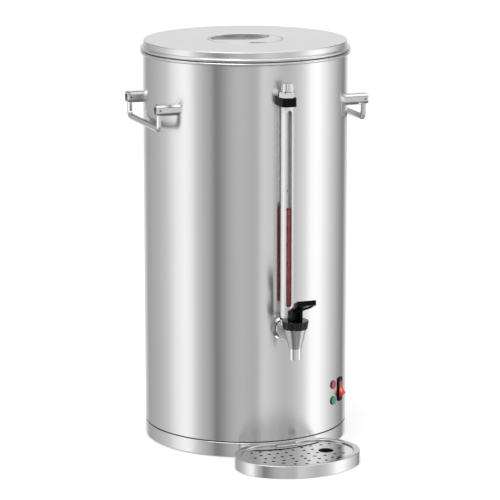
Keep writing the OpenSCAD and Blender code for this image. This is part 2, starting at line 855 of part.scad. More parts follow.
module turned() rotate([0, 0, tray_turn]) children();

module tray_pan() color("silver") turned() {
    difference() {
        translate([0, 0, 0.6]) linear_extrude(tray_h - 0.6) tray_outline(0);
        translate([0, 0, -1]) linear_extrude(2.5) tray_outline(sheet_t);
        translate([0, 0, 1.5 + sheet_t])
            linear_extrude(tray_h - 1.5 - 2 * sheet_t) tray_outline(sheet_t);
        linear_extrude(60) tray_outline(rim_w);
    }
    translate([0, 0, 1.5]) linear_extrude(sheet_t) tray_outline(sheet_t);
    translate([0, 0, ledge_z]) linear_extrude(tray_h - ledge_z) difference() {
        tray_outline(rim_w);
        tray_outline(rim_w + 1);
    }
    translate([0, 0, ledge_z]) linear_extrude(sheet_t) difference() {
        tray_outline(rim_w + 1);
        tray_outline(rim_w + 1 + ledge_w);
    }
}

module tray_pads() color("dimgray") turned() for (x = [-52, 52], y = [-20, 28])
    translate([x, -tray_y + y - 4, 0]) cylinder(r = 6, h = 1.5);

// The lift-out plate: rings of drain holes and one finger hole
module drip_plate() color("silver") turned() translate([0, 0, plate_low]) difference() {
    linear_extrude(drip_top - plate_low) tray_outline(plate_in);
    translate([0, -tray_y, -1]) {
        for (ring = drain_rings, i = [0 : ring[1] - 1]) {
            at = polar(ring[0], 360 * (i + 0.5) / ring[1]);
            if (norm(at - finger_hole) > 15 && norm(at - [0, tray_y]) > body_r + hug_gap + plate_in + 5)
                drain_hole(at);
        }
        for (s = [-1, 1], a = [-22, 0, 22]) drain_hole([s * 59.5 * cos(a), 59.5 * sin(a)]);
        translate([finger_hole[0], finger_hole[1], 0]) cylinder(r = 10, h = 5);
    }
}

module drain_hole(at) translate([at[0], at[1], 0]) cylinder(r = 2.3, h = 5, $fn = 24);

outer_shell();
base_band();
base_plate();
foot_ring();
base_pillars();
base_screws();
inner_tank();
tank_base();
main_heater();
keep_warm_heater();
thermostat();
dry_boil_cutout();
reset_button();
terminal_block();
wiring_loom();
power_inlet();
inlet_blades();
inlet_screws();
lid_cover();
lid_grip_dish();
lid_grip_plate();
lid_pan();
lid_seal();
riser_tube();
filter_basket();
spreader_cover();
left_front_post();
left_rear_post();
right_front_post();
right_rear_post();
handle_saddles();
shell_screws();
bail_pins();
left_bail();
right_bail();
gauge_shield();
gauge_glass();
gauge_liquid();
gauge_seals();
gauge_bracket();
gauge_nut();
gauge_cap();
tap_flange();
tap_gaskets();
tap_spacer();
tap_locknut();
tap_body();
tap_seat_cup();
tap_stem();
tap_spring();
tap_collar();
lever_pin();
tap_lever();
switch_housing();
switch_rocker();
red_lamp();
green_lamp();
tray_pan();
tray_pads();
drip_plate();
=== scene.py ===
"""Coffee urn: the finished look of every piece, built round the packed frame."""
import json
import math
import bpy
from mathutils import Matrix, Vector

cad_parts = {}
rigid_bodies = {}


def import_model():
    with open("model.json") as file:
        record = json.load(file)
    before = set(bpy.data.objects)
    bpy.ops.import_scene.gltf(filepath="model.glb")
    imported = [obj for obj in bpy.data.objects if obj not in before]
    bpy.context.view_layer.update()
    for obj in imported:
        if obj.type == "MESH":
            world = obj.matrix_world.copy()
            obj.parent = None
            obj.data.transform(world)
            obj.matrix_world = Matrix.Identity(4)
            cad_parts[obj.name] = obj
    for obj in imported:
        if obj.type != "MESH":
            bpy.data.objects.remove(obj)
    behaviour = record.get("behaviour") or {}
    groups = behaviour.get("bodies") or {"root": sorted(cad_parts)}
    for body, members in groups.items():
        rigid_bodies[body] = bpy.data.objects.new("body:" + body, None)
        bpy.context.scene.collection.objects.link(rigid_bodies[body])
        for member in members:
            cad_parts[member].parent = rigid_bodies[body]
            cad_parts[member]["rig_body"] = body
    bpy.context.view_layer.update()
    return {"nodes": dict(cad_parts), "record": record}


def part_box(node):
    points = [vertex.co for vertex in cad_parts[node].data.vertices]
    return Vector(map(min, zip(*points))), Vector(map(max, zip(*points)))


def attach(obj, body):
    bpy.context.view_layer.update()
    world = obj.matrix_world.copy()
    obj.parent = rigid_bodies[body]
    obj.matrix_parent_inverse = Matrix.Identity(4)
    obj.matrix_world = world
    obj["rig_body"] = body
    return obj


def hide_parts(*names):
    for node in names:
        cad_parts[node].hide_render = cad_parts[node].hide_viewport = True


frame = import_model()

from types import SimpleNamespace

import bmesh
import bpy
from bpy.props import FloatProperty, FloatVectorProperty, IntProperty, PointerProperty
from bpy.types import Operator, Panel, PropertyGroup
from mathutils import Matrix, Vector

bl_info = {
    "name": "Coffee Urn",
    "version": (1, 0, 0),
    "blender": (4, 5, 0),
    "location": "3D View > Sidebar > Coffee Urn",
    "description": "Builds the finished pieces of a coffee urn round its packed frame",
    "category": "Object",
}

MM = 0.001
FULL_TURN = 2 * math.pi
SLOT_OF = {part["node"]: part["material_slot"] for part in frame["record"]["subparts"]}
# Nodes whose material isn't the one that their slot is named for: the tap's steel stem is made black plastic,
# which paints the lever's open slot with shade
FINISH_OF = {"tap_stem": "black_plastic"}

SHELL_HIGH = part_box("outer_shell")[1]
LID_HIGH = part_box("lid_cover")[1]
DISH_LOW, DISH_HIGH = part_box("lid_grip_dish")
SHIELD_LOW, SHIELD_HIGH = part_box("gauge_shield")
TRAY_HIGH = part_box("tray_pan")[1]


# ---- Properties ----

def length(name, description, default):
    return FloatProperty(name=name, description=description, default=default, min=0.0, unit='LENGTH')


def place(name, description, default):
    return FloatProperty(name=name, description=description, default=default, unit='LENGTH')


def turn(name, description, degrees):
    return FloatProperty(name=name, description=description, default=math.radians(degrees), subtype='ANGLE')


def colour(name, description, default):
    return FloatVectorProperty(name=name, description=description, default=default, size=3,
                               min=0.0, max=1.0, subtype='COLOR')


def share(name, description, default):
    return FloatProperty(name=name, description=description, default=default, min=0.0, max=1.0,
                         subtype='FACTOR')


class UrnBody(PropertyGroup):
    """Sizes of the shell and the base band"""
    radius: length("Radius", "Outer radius of the shell", 0.135)
    sheet: length("Sheet", "Thickness of the shell's sheet", 0.001)
    band_low: length("Band's foot", "Height of the base band's lower edge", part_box("base_band")[0].z)
    band_top: length("Band's top", "Height of the base band's upper edge", 0.020)
    seam: length("Seam", "Height of the open seam above the base band", 0.0015)
    rim_height: length("Rim height", "Height of the rolled rim's centre", 0.5183)
    rim_bead: length("Rim bead", "Radius of the rolled rim's section", 0.002)
    rim_radius: length("Rim radius", "Outermost radius of the rolled rim", SHELL_HIGH.x)


class UrnLid(PropertyGroup):
    """Sizes of the lid"""
    top: length("Top", "Height of the lid's top face", LID_HIGH.z)
    disc: length("Disc", "Radius of the lid's disc", 0.1342)
    lip: length("Lip", "Outermost radius of the lid's rolled lip", LID_HIGH.x)
    bend: length("Bend", "Radius of the bend round the top edge", 0.0014)
    recess: length("Recess", "Radius of the finger recess", DISH_HIGH.x)
    recess_floor: length("Recess floor", "Height of the recess's underside", DISH_LOW.z)
    turned: turn("Turned", "Angle by which the lid stands turned round the urn", -20.5)
    grip_edge: length("Grip edge", "How far the grip plate's edge lies in front of the centre", 0.010)
    grip_bend: length("Grip bend", "Radius of the bend of the finger opening", 0.035)


class UrnHandles(PropertyGroup):
    """Sizes of the drop handles"""
    pivot: length("Pivot height", "Height of the bail's pivot pins", 0.4561)
    span: length("Span", "Distance between the two posts of a handle", 0.1196)
    middle: place("Middle", "Where the handles' middle lies along Y", -0.004)
    end: length("Post end", "How far a post reaches from the urn's axis", 0.147)
    post_width: length("Post width", "Width of a post", 0.016)
    post_height: length("Post height", "Height of a post", 0.015)
    drop: length("Drop", "From the pivot to the bottom of the bail", 0.0291)
    bar_width: length("Bar width", "Width of the bail's bar", 0.0078)
    bar_depth: length("Bar depth", "Thickness of the bail's bar", 0.006)


class UrnGauge(PropertyGroup):
    """Sizes of the sight gauge"""
    distance: length("Distance", "From the urn's axis to the gauge's axis", 0.1525)
    shield: length("Shield", "Outer radius of the metal shield", (SHIELD_HIGH.x - SHIELD_LOW.x) / 2)
    slot: length("Slot", "Width of the window", 0.0077)
    slot_low: length("Slot's foot", "Height of the window's lower end", 0.206)
    slot_high: length("Slot's head", "Height of the window's upper end", 0.462)
    glass: length("Glass", "Outer radius of the glass tube", 0.0055)
    level: length("Level", "Height of the coffee in the glass", 0.334)
    mark_pitch: length("Mark pitch", "Distance between two level marks", 0.02364)
    marks: IntProperty(name="Marks", description="Number of level marks", default=6, min=1, max=10)


class UrnTap(PropertyGroup):
    """Sizes of the tap"""
    height: length("Height", "Height of the tap's inlet", 0.174)
    distance: length("Distance", "From the urn's axis to the spout's axis", 0.182)
    spout: length("Spout", "Outer radius of the spout", 0.008)
    spout_foot: length("Spout's foot", "Height of the spout's outlet", 0.1425)
    collar_foot: length("Collar's foot", "Height of the collar's lower edge", 0.18325)
    collar: length("Collar", "Largest radius of the collar", 0.0173)
    flutes: IntProperty(name="Flutes", description="Number of flutes round the collar", default=14,
                        min=6, max=20)
    reach: length("Lever reach", "From the spout's axis to the lever's front", 0.039)
    paddle: length("Paddle", "Width of the lever's paddle", 0.0256)
    pivot: length("Pivot height", "Height of the lever's pin", 0.202)


class UrnControls(PropertyGroup):
    """Places and sizes of the lamps, the switch and the inlet"""
    lamp_angle: turn("Lamp angle", "Angle of the lamps from the front", 38.9)
    lamp_high: length("Upper lamp", "Height of the upper lamp", 0.0812)
    lamp_low: length("Lower lamp", "Height of the lower lamp", 0.0594)
    lens: length("Lens", "Radius of a lamp's lens", 0.0059)
    switch_angle: turn("Switch angle", "Angle of the switch from the front", 47.9)
    switch_height: length("Switch height", "Height of the switch", 0.0706)
    bezel_width: length("Bezel width", "Width of the switch's bezel", 0.013)
    bezel_height: length("Bezel height", "Height of the switch's bezel", 0.032)
    inlet_height: length("Inlet height", "Height of the appliance inlet", 0.048)


class UrnTray(PropertyGroup):
    """Sizes of the drip tray"""
    distance: length("Distance", "From the urn's axis to the tray's centre", 0.1763)
    half_width: length("Half width", "Half of the tray's width", 0.084)
    half_depth: length("Half depth", "Half of the tray's depth", 0.06375)
    end_radius: length("End radius", "Radius of the tray's ends", 0.052)
    height: length("Height", "Height of the tray", TRAY_HIGH.z)
    rim: length("Rim", "Width of the flat rim", 0.008)
    gap: length("Gap", "Gap between the tray and the body", 0.0016)
    turned: turn("Turned", "Angle by which the tray stands turned", 2.0)
    hole: length("Drain hole", "Radius of a drain hole", 0.0023)


class UrnFinish(PropertyGroup):
    """Colours and gloss"""
    steel: colour("Steel", "Colour of the brushed steel", (0.74, 0.74, 0.745))
    lid_steel: colour("Lid steel", "Colour of the lid's satin steel", (0.77, 0.77, 0.768))
    chrome: colour("Chrome", "Colour of the polished fittings", (0.77, 0.77, 0.775))
    plastic: colour("Plastic", "Colour of the black plastic", (0.004, 0.004, 0.0045))
    coffee: colour("Coffee", "Colour of the coffee in the glass", (0.28, 0.030, 0.022))
    red_lens: colour("Red lens", "Colour of the upper lamp", (0.46, 0.05, 0.085))
    green_lens: colour("Green lens", "Colour of the lower lamp", (0.035, 0.31, 0.20))
    rocker: colour("Rocker", "Colour of the switch's rocker", (0.46, 0.06, 0.085))
    brushed: share("Brushed roughness", "Roughness of the brushed steel", 0.22)
    polished: share("Polished roughness", "Roughness of the chrome", 0.07)


class UrnStage(PropertyGroup):
    """Camera and surroundings"""
    camera: FloatVectorProperty(name="Camera", description="Where the camera stands", size=3,
                                default=(-1.2014, -3.2134, 0.9945), subtype='XYZ', unit='LENGTH')
    tilt: turn("Tilt", "How far the camera looks down", 12.26)
    heading: turn("Heading", "Angle of the camera's heading from +Y towards +X", 20.603)
    lens: FloatProperty(name="Lens", description="Focal length in millimetres", default=188.89, min=10.0)
    key: FloatProperty(name="Key light", description="Power of the overhead light", default=11.0,
                       min=0.0, unit='POWER')


GROUPS = {"urn_body": UrnBody, "urn_lid": UrnLid, "urn_handles": UrnHandles, "urn_gauge": UrnGauge,
          "urn_tap": UrnTap, "urn_controls": UrnControls, "urn_tray": UrnTray,
          "urn_finish": UrnFinish, "urn_stage": UrnStage}


def measures(group):
    """A group's values, with its lengths in millimetres."""
    values = {}
    for name in group.__annotations__:
        value = getattr(group, name)
        if group.bl_rna.properties[name].unit == 'LENGTH':
            value = value / MM
        values[name] = value
    return SimpleNamespace(**values)


# ---- Mesh tools: everything is shaped in millimetres ----

def heights(node):
    """The lowest and highest height of a CAD node, in millimetres."""
    return [corner.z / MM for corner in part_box(node)]


def tidy(bm):
    """Merges doubles and turns all faces outwards."""
    bmesh.ops.remove_doubles(bm, verts=bm.verts, dist=1e-4)
    bmesh.ops.dissolve_degenerate(bm, edges=bm.edges, dist=1e-5)
    bmesh.ops.recalc_face_normals(bm, faces=bm.faces)
    return bm


def lathe(profile, steps=96):
    """Turns an outline of (radius, height) points round the upright axis."""
    bm = bmesh.new()
    verts = [bm.verts.new((radius, 0, height)) for radius, height in profile]
    edges = [bm.edges.new(pair) for pair in zip(verts, verts[1:] + verts[:1])]
    bmesh.ops.spin(bm, geom=verts + edges, cent=(0, 0, 0), axis=(0, 0, 1), angle=FULL_TURN,
                   steps=steps, use_merge=True, use_duplicate=False)
    return tidy(bm)


def tube(inner, outer, low, high, steps=96):
    """An upright ring with a square section."""
    return lathe([(inner, low), (outer, low), (outer, high), (inner, high)], steps)


def arc(x, y, radius, start, end, steps):
    """Points on an arc, with angles in degrees."""
    angles = [math.radians(start + (end - start) * i / steps) for i in range(steps + 1)]
    return [(x + radius * math.cos(a), y + radius * math.sin(a)) for a in angles]


def round_rect(width, height, radius, steps=6):
    """Outline of a rectangle with round corners, centred."""
    x, y = width / 2 - radius, height / 2 - radius
    corners = [(x, y, 0), (-x, y, 90), (-x, -y, 180), (x, -y, 270)]
    return [p for cx, cy, a in corners for p in arc(cx, cy, radius, a, a + 90, steps)]


def mirrored_outline(right):
    """An outline that is the same on both sides of X = 0, from its right half."""
    return right + [(-x, y) for x, y in reversed(right)]


def prism(outline, low, high):
    """An outline in X and Y, extruded upwards."""
    bm = bmesh.new()
    face = bm.faces.new([bm.verts.new((x, y, low)) for x, y in outline])
    grown = bmesh.ops.extrude_face_region(bm, geom=[face])["geom"]
    top = [item for item in grown if isinstance(item, bmesh.types.BMVert)]
    bmesh.ops.translate(bm, vec=(0, 0, high - low), verts=top)
    return tidy(bm)


def block(low, high):
    """A box between two corners."""
    bm = bmesh.new()
    low, high = Vector(low), Vector(high)
    bmesh.ops.create_cube(bm, size=1)
    bmesh.ops.scale(bm, vec=high - low, verts=bm.verts)
    return moved(bm, (low + high) / 2)


def rod(start, end, radius, steps=48):
    """A cylinder from one point to another."""
    bm = bmesh.new()
    start, end = Vector(start), Vector(end)
    along = end - start
    bmesh.ops.create_cone(bm, cap_ends=True, segments=steps, radius1=radius, radius2=radius,
                          depth=along.length)
    turned(bm, along.to_track_quat('Z', 'Y').to_matrix().to_4x4())
    return moved(bm, (start + end) / 2)


def column(radius, low, high, steps=48, at=(0, 0)):
    """An upright cylinder."""
    return rod((*at, low), (*at, high), radius, steps)


def moved(bm, by):
    bmesh.ops.translate(bm, vec=by, verts=bm.verts)
    return bm


def turned(bm, matrix):
    """Transforms a mesh, and turns its faces outwards again after a mirror."""
    bm.transform(matrix)
    if matrix.determinant() < 0:
        bmesh.ops.reverse_faces(bm, faces=bm.faces)
    return bm


def spun(bm, angle):
    """Turns a mesh round the upright axis."""
    return turned(bm, Matrix.Rotation(angle, 4, 'Z'))


def facing_front(bm):
    """Lays a prism down, so that its outline is seen from the front and it grows along +Y."""
    return turned(bm, Matrix.Rotation(math.pi / 2, 4, 'X') @ Matrix.Scale(-1, 4, (0, 0, 1)))


def facing_side(bm):
    """Lays a prism down, so that its outline lies in Y and Z and it grows along +X."""
    return turned(bm, Matrix(((0, 0, 1, 0), (1, 0, 0, 0), (0, 1, 0, 0), (0, 0, 0, 1))))


def forwards(bm):
    """Lays a turned piece down, so that its upright axis points out of the urn's front."""
    return turned(bm, Matrix.Rotation(math.pi / 2, 4, 'X'))


def around(bm, angle, height, radius):
    """Moves a mesh made at the origin, with -Y outwards, onto the body's wall."""
    moved(bm, (0, -radius, height))
    return spun(bm, angle)


def linked(name, data):
    """Adds an object to the scene."""
    obj = bpy.data.objects.new(name, data)
    bpy.context.scene.collection.objects.link(obj)
    return obj


def mesh_of(bm, name):
    """Turns a bmesh into a mesh."""
    mesh = bpy.data.meshes.new(name)
    bm.to_mesh(mesh)
    bm.free()
    return mesh


def joined(*parts):
    """Several meshes as one."""
    whole = parts[0]
    for part in parts[1:]:
        mesh = mesh_of(part, "part")
        whole.from_mesh(mesh)
        bpy.data.meshes.remove(mesh)
    return whole


def ring_of(make, count):
    """Copies of a mesh, set evenly round the upright axis."""
    return joined(*[spun(make(), FULL_TURN * (i + 0.5) / count) for i in range(count)])


def boolean(bm, tool, operation):
    """The union, difference or intersection of two closed meshes."""
    objects = [linked("part", mesh_of(part, "part")) for part in (bm, tool)]
    modifier = objects[0].modifiers.new("Boolean", 'BOOLEAN')
    modifier.operation = operation
    modifier.solver = 'EXACT'
    modifier.object = objects[1]
    result = bmesh.new()
    result.from_object(objects[0], bpy.context.evaluated_depsgraph_get())
    for obj in objects:
        mesh = obj.data
        bpy.data.objects.remove(obj)
        bpy.data.meshes.remove(mesh)
    bmesh.ops.dissolve_limit(result, angle_limit=math.radians(0.5), verts=result.verts,
                             edges=result.edges)
    return tidy(result)


def minus(bm, *tools):
    for tool in tools:
        bm = boolean(bm, tool, 'DIFFERENCE')
    return bm


def plus(bm, *tools):
    for tool in tools:
        bm = boolean(bm, tool, 'UNION')
    return bm


def common(bm, tool):
    return boolean(bm, tool, 'INTERSECT')


def soften(bm, width, steps=2, angle=32):
    """Rounds the outward edges that are sharper than an angle in degrees."""
    bm.normal_update()
    limit = math.radians(angle)
    sharp = [edge for edge in bm.edges
             if len(edge.link_faces) == 2 and edge.is_convex and edge.calc_face_angle(0) > limit]
    bmesh.ops.bevel(bm, geom=sharp, offset=width, offset_type='OFFSET', segments=steps,
                    profile=0.5, affect='EDGES', clamp_overlap=True, material=-1)
    return bm


def finished(name, bm, nodes, slot=None, body=None, sharp=38, accents=(), finish=None):
    """Makes the piece that stands for some CAD nodes, in metres.

    Small slits that a boolean left are closed, and loose edges go. The first material is the slot's
    own, or the finish where one is named, and the accents follow it.
    """
    tidy(bm)
    bmesh.ops.holes_fill(bm, edges=[edge for edge in bm.edges if edge.is_boundary], sides=4)
    bmesh.ops.delete(bm, geom=[edge for edge in bm.edges if not edge.link_faces], context='EDGES')
    bmesh.ops.scale(bm, vec=(MM, MM, MM), verts=bm.verts)
    for face in bm.faces:
        face.smooth = True
    mesh = mesh_of(bm, name)
    mesh.set_sharp_from_angle(angle=math.radians(sharp))
    slot = slot or SLOT_OF[nodes[0]]
    for material in (finish or slot, *accents):
        mesh.materials.append(bpy.data.materials[material])
    obj = linked(name, mesh)
    weighted = obj.modifiers.new("Normals", 'WEIGHTED_NORMAL')
    weighted.keep_sharp = True
    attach(obj, body or frame["nodes"][nodes[0]]["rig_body"])
    if nodes:
        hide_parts(*nodes)
    return obj


def accent(obj, chosen):
    """Gives the second material to the faces chosen by their middle, in millimetres, and normal."""
    for face in obj.data.polygons:
        face.material_index = int(chosen(face.center / MM, face.normal))


# ---- Materials ----

class Nodes:
    """A node tree under construction."""

    def __init__(self, tree):
        self.tree = tree

    def feed(self, node, socket, value):
        """Gives a socket a value, or links it to another node's output."""
        if isinstance(value, bpy.types.NodeSocket):
            self.tree.links.new(value, node.inputs[socket])
        else:
            node.inputs[socket].default_value = value

    def node(self, kind, sockets, **settings):
        """A new node with its settings and its sockets fed."""
        node = self.tree.nodes.new("ShaderNode" + kind)
        for name, value in settings.items():
            setattr(node, name, value)
        for socket, value in sockets.items():
            self.feed(node, socket, value)
        return node

    def output(self, name, kind, sockets=None, **settings):
        """The named output of a new node."""
        return self.node(kind, sockets or {}, **settings).outputs[name]

    def math(self, operation, first, second):
        return self.output("Value", "Math", {0: first, 1: second}, operation=operation)

    def within(self, value, low, high, ends=(0.0, 1.0)):
        """Where a value lies between low and high, as a number from 0 to 1 or between other ends."""
        return self.output("Result", "MapRange", {"Value": value, "From Min": low, "From Max": high,
                                                  "To Min": ends[0], "To Max": ends[1]})

    def ramp(self, fac, stops):
        """The colour at a place between (position, colour) stops."""
        ramp = self.node("ValToRGB", {"Fac": fac})
        elements = ramp.color_ramp.elements
        for i, (at, tone) in enumerate(stops):
            stop = elements[i] if i < 2 else elements.new(at)
            stop.position = at
            stop.color = (*tone, 1)
        return ramp.outputs["Color"]


class Finish(Nodes):
    """A material under construction, with its main shader."""

    def __init__(self, name, base, roughness, sockets=None):
        old = bpy.data.materials.get(name)
        if old:
            bpy.data.materials.remove(old)
        self.material = bpy.data.materials.new(name)
        self.material.use_nodes = True
        self.material.diffuse_color = (*base, 1)
        super().__init__(self.material.node_tree)
        self.shader = self.tree.nodes["Principled BSDF"]
        self.base, self.roughness = base, roughness
        self.set("Base Color", (*base, 1))
        self.set("Roughness", roughness)
        for socket, value in (sockets or {}).items():
            self.set(socket, value)

    def set(self, socket, value):
        """Feeds a socket of the main shader."""
        self.feed(self.shader, socket, value)

    def noise(self, scale, detail=3.0, stretch=(1, 1, 1), rough=0.5):
        """Noise on the piece's own coordinates, stretched along an axis by a small number."""
        place_on_piece = self.output("Object", "TexCoord")
        stretched = self.output("Vector", "Mapping", {"Vector": place_on_piece, "Scale": stretch})
        return self.output("Fac", "TexNoise", {"Vector": stretched, "Scale": scale, "Detail": detail,
                                               "Roughness": rough})

    def blend(self, fac, first, second, kind='FLOAT'):
        """A number or, with kind RGBA, a colour between two others."""
        return self.output("Result", "Mix", {"Factor": fac, "A": first, "B": second}, data_type=kind)

    def between(self, fac, low, high):
        """A value that runs from low to high as the pattern rises."""
        return self.within(fac, 0.25, 0.75, (low, high))

    def vary_roughness(self, fac, spread):
        low, high = max(0.0, self.roughness - spread), self.roughness + spread
        self.set("Roughness", self.between(fac, low, high))

    def vary_colour(self, fac, spread, tint=None):
        """Lets the colour run between a darker and a lighter or tinted tone."""
        dark = shade(self.base, 1 - spread)
        light = tint or [min(1, c) for c in shade(self.base, 1 + spread)]
        self.set("Base Color", self.blend(self.between(fac, 0, 1), (*dark, 1), (*light, 1), 'RGBA'))

    def bump(self, fac, height):
        """Relief of a height in metres."""
        self.set("Normal", self.output("Normal", "Bump", {"Height": fac, "Distance": height}))

    def draw_out_upright(self):
        """Draws highlights out along the piece's own upright axis.

        The axis leans a little, because one that stands square on a face makes that face black.
        """
        lean = 0.01
        axis = self.output("Vector", "CombineXYZ", {"X": lean, "Y": lean, "Z": 1 + lean})
        self.set("Tangent", self.output("Vector", "VectorTransform", {"Vector": axis}, vector_type='VECTOR',
                                        convert_from='OBJECT', convert_to='WORLD'))


def shade(tone, part):
    """A darker or brighter tone of a colour."""
    return tuple(c * part for c in tone)


def brushed_steel(name, base, roughness, streak, drawn_out=0.0):
    """Steel with fine parallel brushing: streaks run where the stretch is small.

    With drawn_out above 0, its highlights are drawn out upright.
    """
    finish = Finish(name, base, roughness, {"Metallic": 1.0, "Anisotropic": drawn_out})
    fine = finish.noise(1.0, detail=4.0, stretch=streak, rough=0.7)
    cloud = finish.noise(9.0)
    finish.vary_colour(fine, 0.012)
    finish.vary_roughness(finish.blend(0.35, fine, cloud), roughness * 0.15)
    finish.bump(fine, 0.0000012)
    if drawn_out:
        finish.draw_out_upright()
    return finish


def pale_recess(finish):
    """Makes the inside of the lid's finger recess paler and duller than the rest of the lid."""
    lid = bpy.context.scene.urn_lid
    from_wall, from_top = 0.0008, 0.0045
    roughness, metallic = 0.24, 0.3
    spot = finish.output("Object", "TexCoord")
    height = finish.output("Z", "SeparateXYZ", {"Vector": spot})
    flat = finish.output("Vector", "VectorMath", {0: spot, 1: (1, 1, 0)}, operation='MULTIPLY')
    away = finish.output("Value", "VectorMath", {0: flat}, operation='LENGTH')
    recess = finish.math('MULTIPLY', finish.math('LESS_THAN', away, lid.recess - from_wall),
                         finish.math('LESS_THAN', height, lid.top - from_top))
    brushed = finish.shader.inputs["Roughness"].links[0].from_socket
    finish.set("Roughness", finish.blend(recess, brushed, roughness))
    finish.set("Metallic", finish.blend(recess, 1.0, metallic))


def polished_metal(name, base, roughness):
    """Bright plating with the faint haze of wiped metal."""
    finish = Finish(name, base, roughness, {"Metallic": 1.0})
    haze = finish.noise(120.0, detail=4.0)
    finish.vary_roughness(haze, roughness * 0.5)
    finish.vary_colour(haze, 0.02)


def plain_metal(name, base, roughness, stain=None):
    """Zinc, brass or aluminium with blotches and a faint drawn texture."""
    finish = Finish(name, base, roughness, {"Metallic": 1.0})
    blotch = finish.noise(60.0, detail=5.0)
    finish.vary_colour(blotch, 0.12, stain)
    finish.vary_roughness(blotch, 0.1)
    finish.bump(finish.noise(900.0), 0.00001)


def moulded_plastic(name, base, roughness, grain=0.00002, spread=0.15, sockets=None):
    """Moulded plastic with a fine skin and a little unevenness in gloss."""
    finish = Finish(name, base, roughness, sockets)
    finish.vary_colour(finish.noise(40.0), spread)
    finish.vary_roughness(finish.noise(180.0, detail=4.0), 0.06)
    finish.bump(finish.noise(1400.0, detail=2.0), grain)


def lens_plastic(name, base, glow):
    """A translucent coloured lens with fine ribs inside."""
    finish = Finish(name, base, 0.16, {
        "IOR": 1.49, "Coat Weight": 0.15, "Coat Roughness": 0.05, "Subsurface Weight": 0.35,
        "Subsurface Radius": (0.004, 0.002, 0.002), "Subsurface Scale": 0.6,
        "Emission Color": (*base, 1), "Emission Strength": glow})
    ribs = finish.noise(700.0, detail=1.0, stretch=(1, 1, 0.25))
    finish.vary_colour(ribs, 0.18)
    return finish


def glowing_rocker(name, base):
    """Translucent red plastic, lit from behind by a small lamp."""
    finish = lens_plastic(name, base, 0.75)
    controls = measures(bpy.context.scene.urn_controls)
    lamp = Vector((-3.0, -138.0, controls.switch_height - 1.0)) * MM
    lamp.rotate(Matrix.Rotation(controls.switch_angle, 3, 'Z'))
    reach = 0.008
    spot = finish.output("Object", "TexCoord")
    away = finish.output("Value", "VectorMath", {0: spot, 1: lamp}, operation='DISTANCE')
    finish.set("Emission Color", finish.ramp(finish.within(away, 0.0, reach), [
        (0.0, (1.0, 0.52, 0.08)), (0.38, (0.50, 0.045, 0.012)), (1.0, (0.02, 0.002, 0.003))]))


def clear_glass(name):
    """Thin clear glass."""
    finish = Finish(name, (0.45, 0.48, 0.47), 0.04, {"IOR": 1.5, "Alpha": 0.06})
    finish.vary_roughness(finish.noise(90.0), 0.02)


def coffee_in_glass(name, base):
    """Red-brown coffee with a darker heart, and a faint glow that is painted light."""
    # The emission is painted light: the coffee gives off no light of its own.
    finish = Finish(name, base, 0.12, {"IOR": 1.34, "Specular IOR Level": 0.2,
                                       "Emission Color": (*base, 1), "Emission Strength": 0.10})
    finish.vary_colour(finish.noise(35.0, stretch=(1, 1, 0.2)), 0.15)


def build_finishes(look):
    steel, chrome, black = tuple(look.steel), tuple(look.chrome), tuple(look.plastic)
    brushed_steel("shell_steel", steel, look.brushed, (22, 22, 1900), 0.75)
    brushed_steel("tank_steel", shade(steel, 0.9), look.brushed + 0.02, (30, 30, 700), 0.4)
    brushed_steel("tray_steel", steel, look.brushed - 0.01, (40, 40, 1900), 0.6)
    brushed_steel("handle_steel", shade(steel, 1.1), look.brushed - 0.08, (900, 60, 900))
    brushed_steel("gauge_steel", shade(steel, 1.25), 0.3, (500, 500, 30)).set("Metallic", 0.35)
    pale_recess(brushed_steel("lid_steel", tuple(look.lid_steel), look.brushed + 0.04, (35, 1500, 35)))
    polished_metal("satin_steel", shade(chrome, 0.8), 0.2)
    polished_metal("plate_steel", chrome, look.polished)
    polished_metal("chrome", chrome, look.polished + 0.02)
    plain_metal("dark_pin", (0.28, 0.28, 0.28), 0.32)
    plain_metal("zinc_steel", (0.58, 0.59, 0.60), 0.36)
    plain_metal("heater_metal", (0.50, 0.49, 0.47), 0.42, (0.46, 0.40, 0.33))
    plain_metal("brass", (0.76, 0.58, 0.26), 0.28)
    moulded_plastic("black_plastic", black, 0.12, 0.00001, sockets={"Specular IOR Level": 0.10})
    moulded_plastic("glossy_black", black, 0.05, 0.000002, sockets={"Specular IOR Level": 0.4})
    moulded_plastic("black_rubber", shade(black, 2.5), 0.7, 0.00005)
    moulded_plastic("silicone", (0.78, 0.77, 0.72), 0.5, 0.00002, 0.05, {"Subsurface Weight": 0.2})
    moulded_plastic("white_plastic", (0.80, 0.78, 0.72), 0.4, 0.00002, 0.05)
    moulded_plastic("red_plastic", (0.55, 0.03, 0.02), 0.3)
    for name, lens in (("lamp_red", tuple(look.red_lens)), ("lamp_green", tuple(look.green_lens))):
        lens_plastic(name, lens, 0.10)
        # A darker copy of each lens, without glow, for its sides: painted shade.
        lens_plastic(name + "_edge", shade(lens, 0.16), 0.0)
    glowing_rocker("switch_red", tuple(look.rocker))
    clear_glass("gauge_glass")
    coffee_in_glass("coffee", tuple(look.coffee))


class URN_OT_finishes(Operator):
    """Make every material and give the CAD nodes theirs"""
    bl_idname = "urn.finishes"
    bl_label = "Finishes"

    def execute(self, context):
        build_finishes(context.scene.urn_finish)
        for node, obj in frame["nodes"].items():
            obj.data.materials.clear()
            obj.data.materials.append(bpy.data.materials[FINISH_OF.get(node, SLOT_OF[node])])
        return {'FINISHED'}


# ---- Body ----

class URN_OT_shell(Operator):
    """Make the outer shell with its rolled rim"""
    bl_idname = "urn.shell"
    bl_label = "Shell"

    def execute(self, context):
        s = measures(context.scene.urn_body)
        inner = s.radius - s.sheet
        foot, edge = s.band_top + s.seam, 0.3
        wall = [(inner, foot + edge), (inner + edge, foot), (s.radius - edge, foot), (s.radius, foot + edge)]
        bead = arc(s.rim_radius - s.rim_bead, s.rim_height, s.rim_bead, -166, 148, 20)
        finished("shell", lathe(wall + bead + [(inner, s.rim_height)], steps=256), ["outer_shell"])
        return {'FINISHED'}


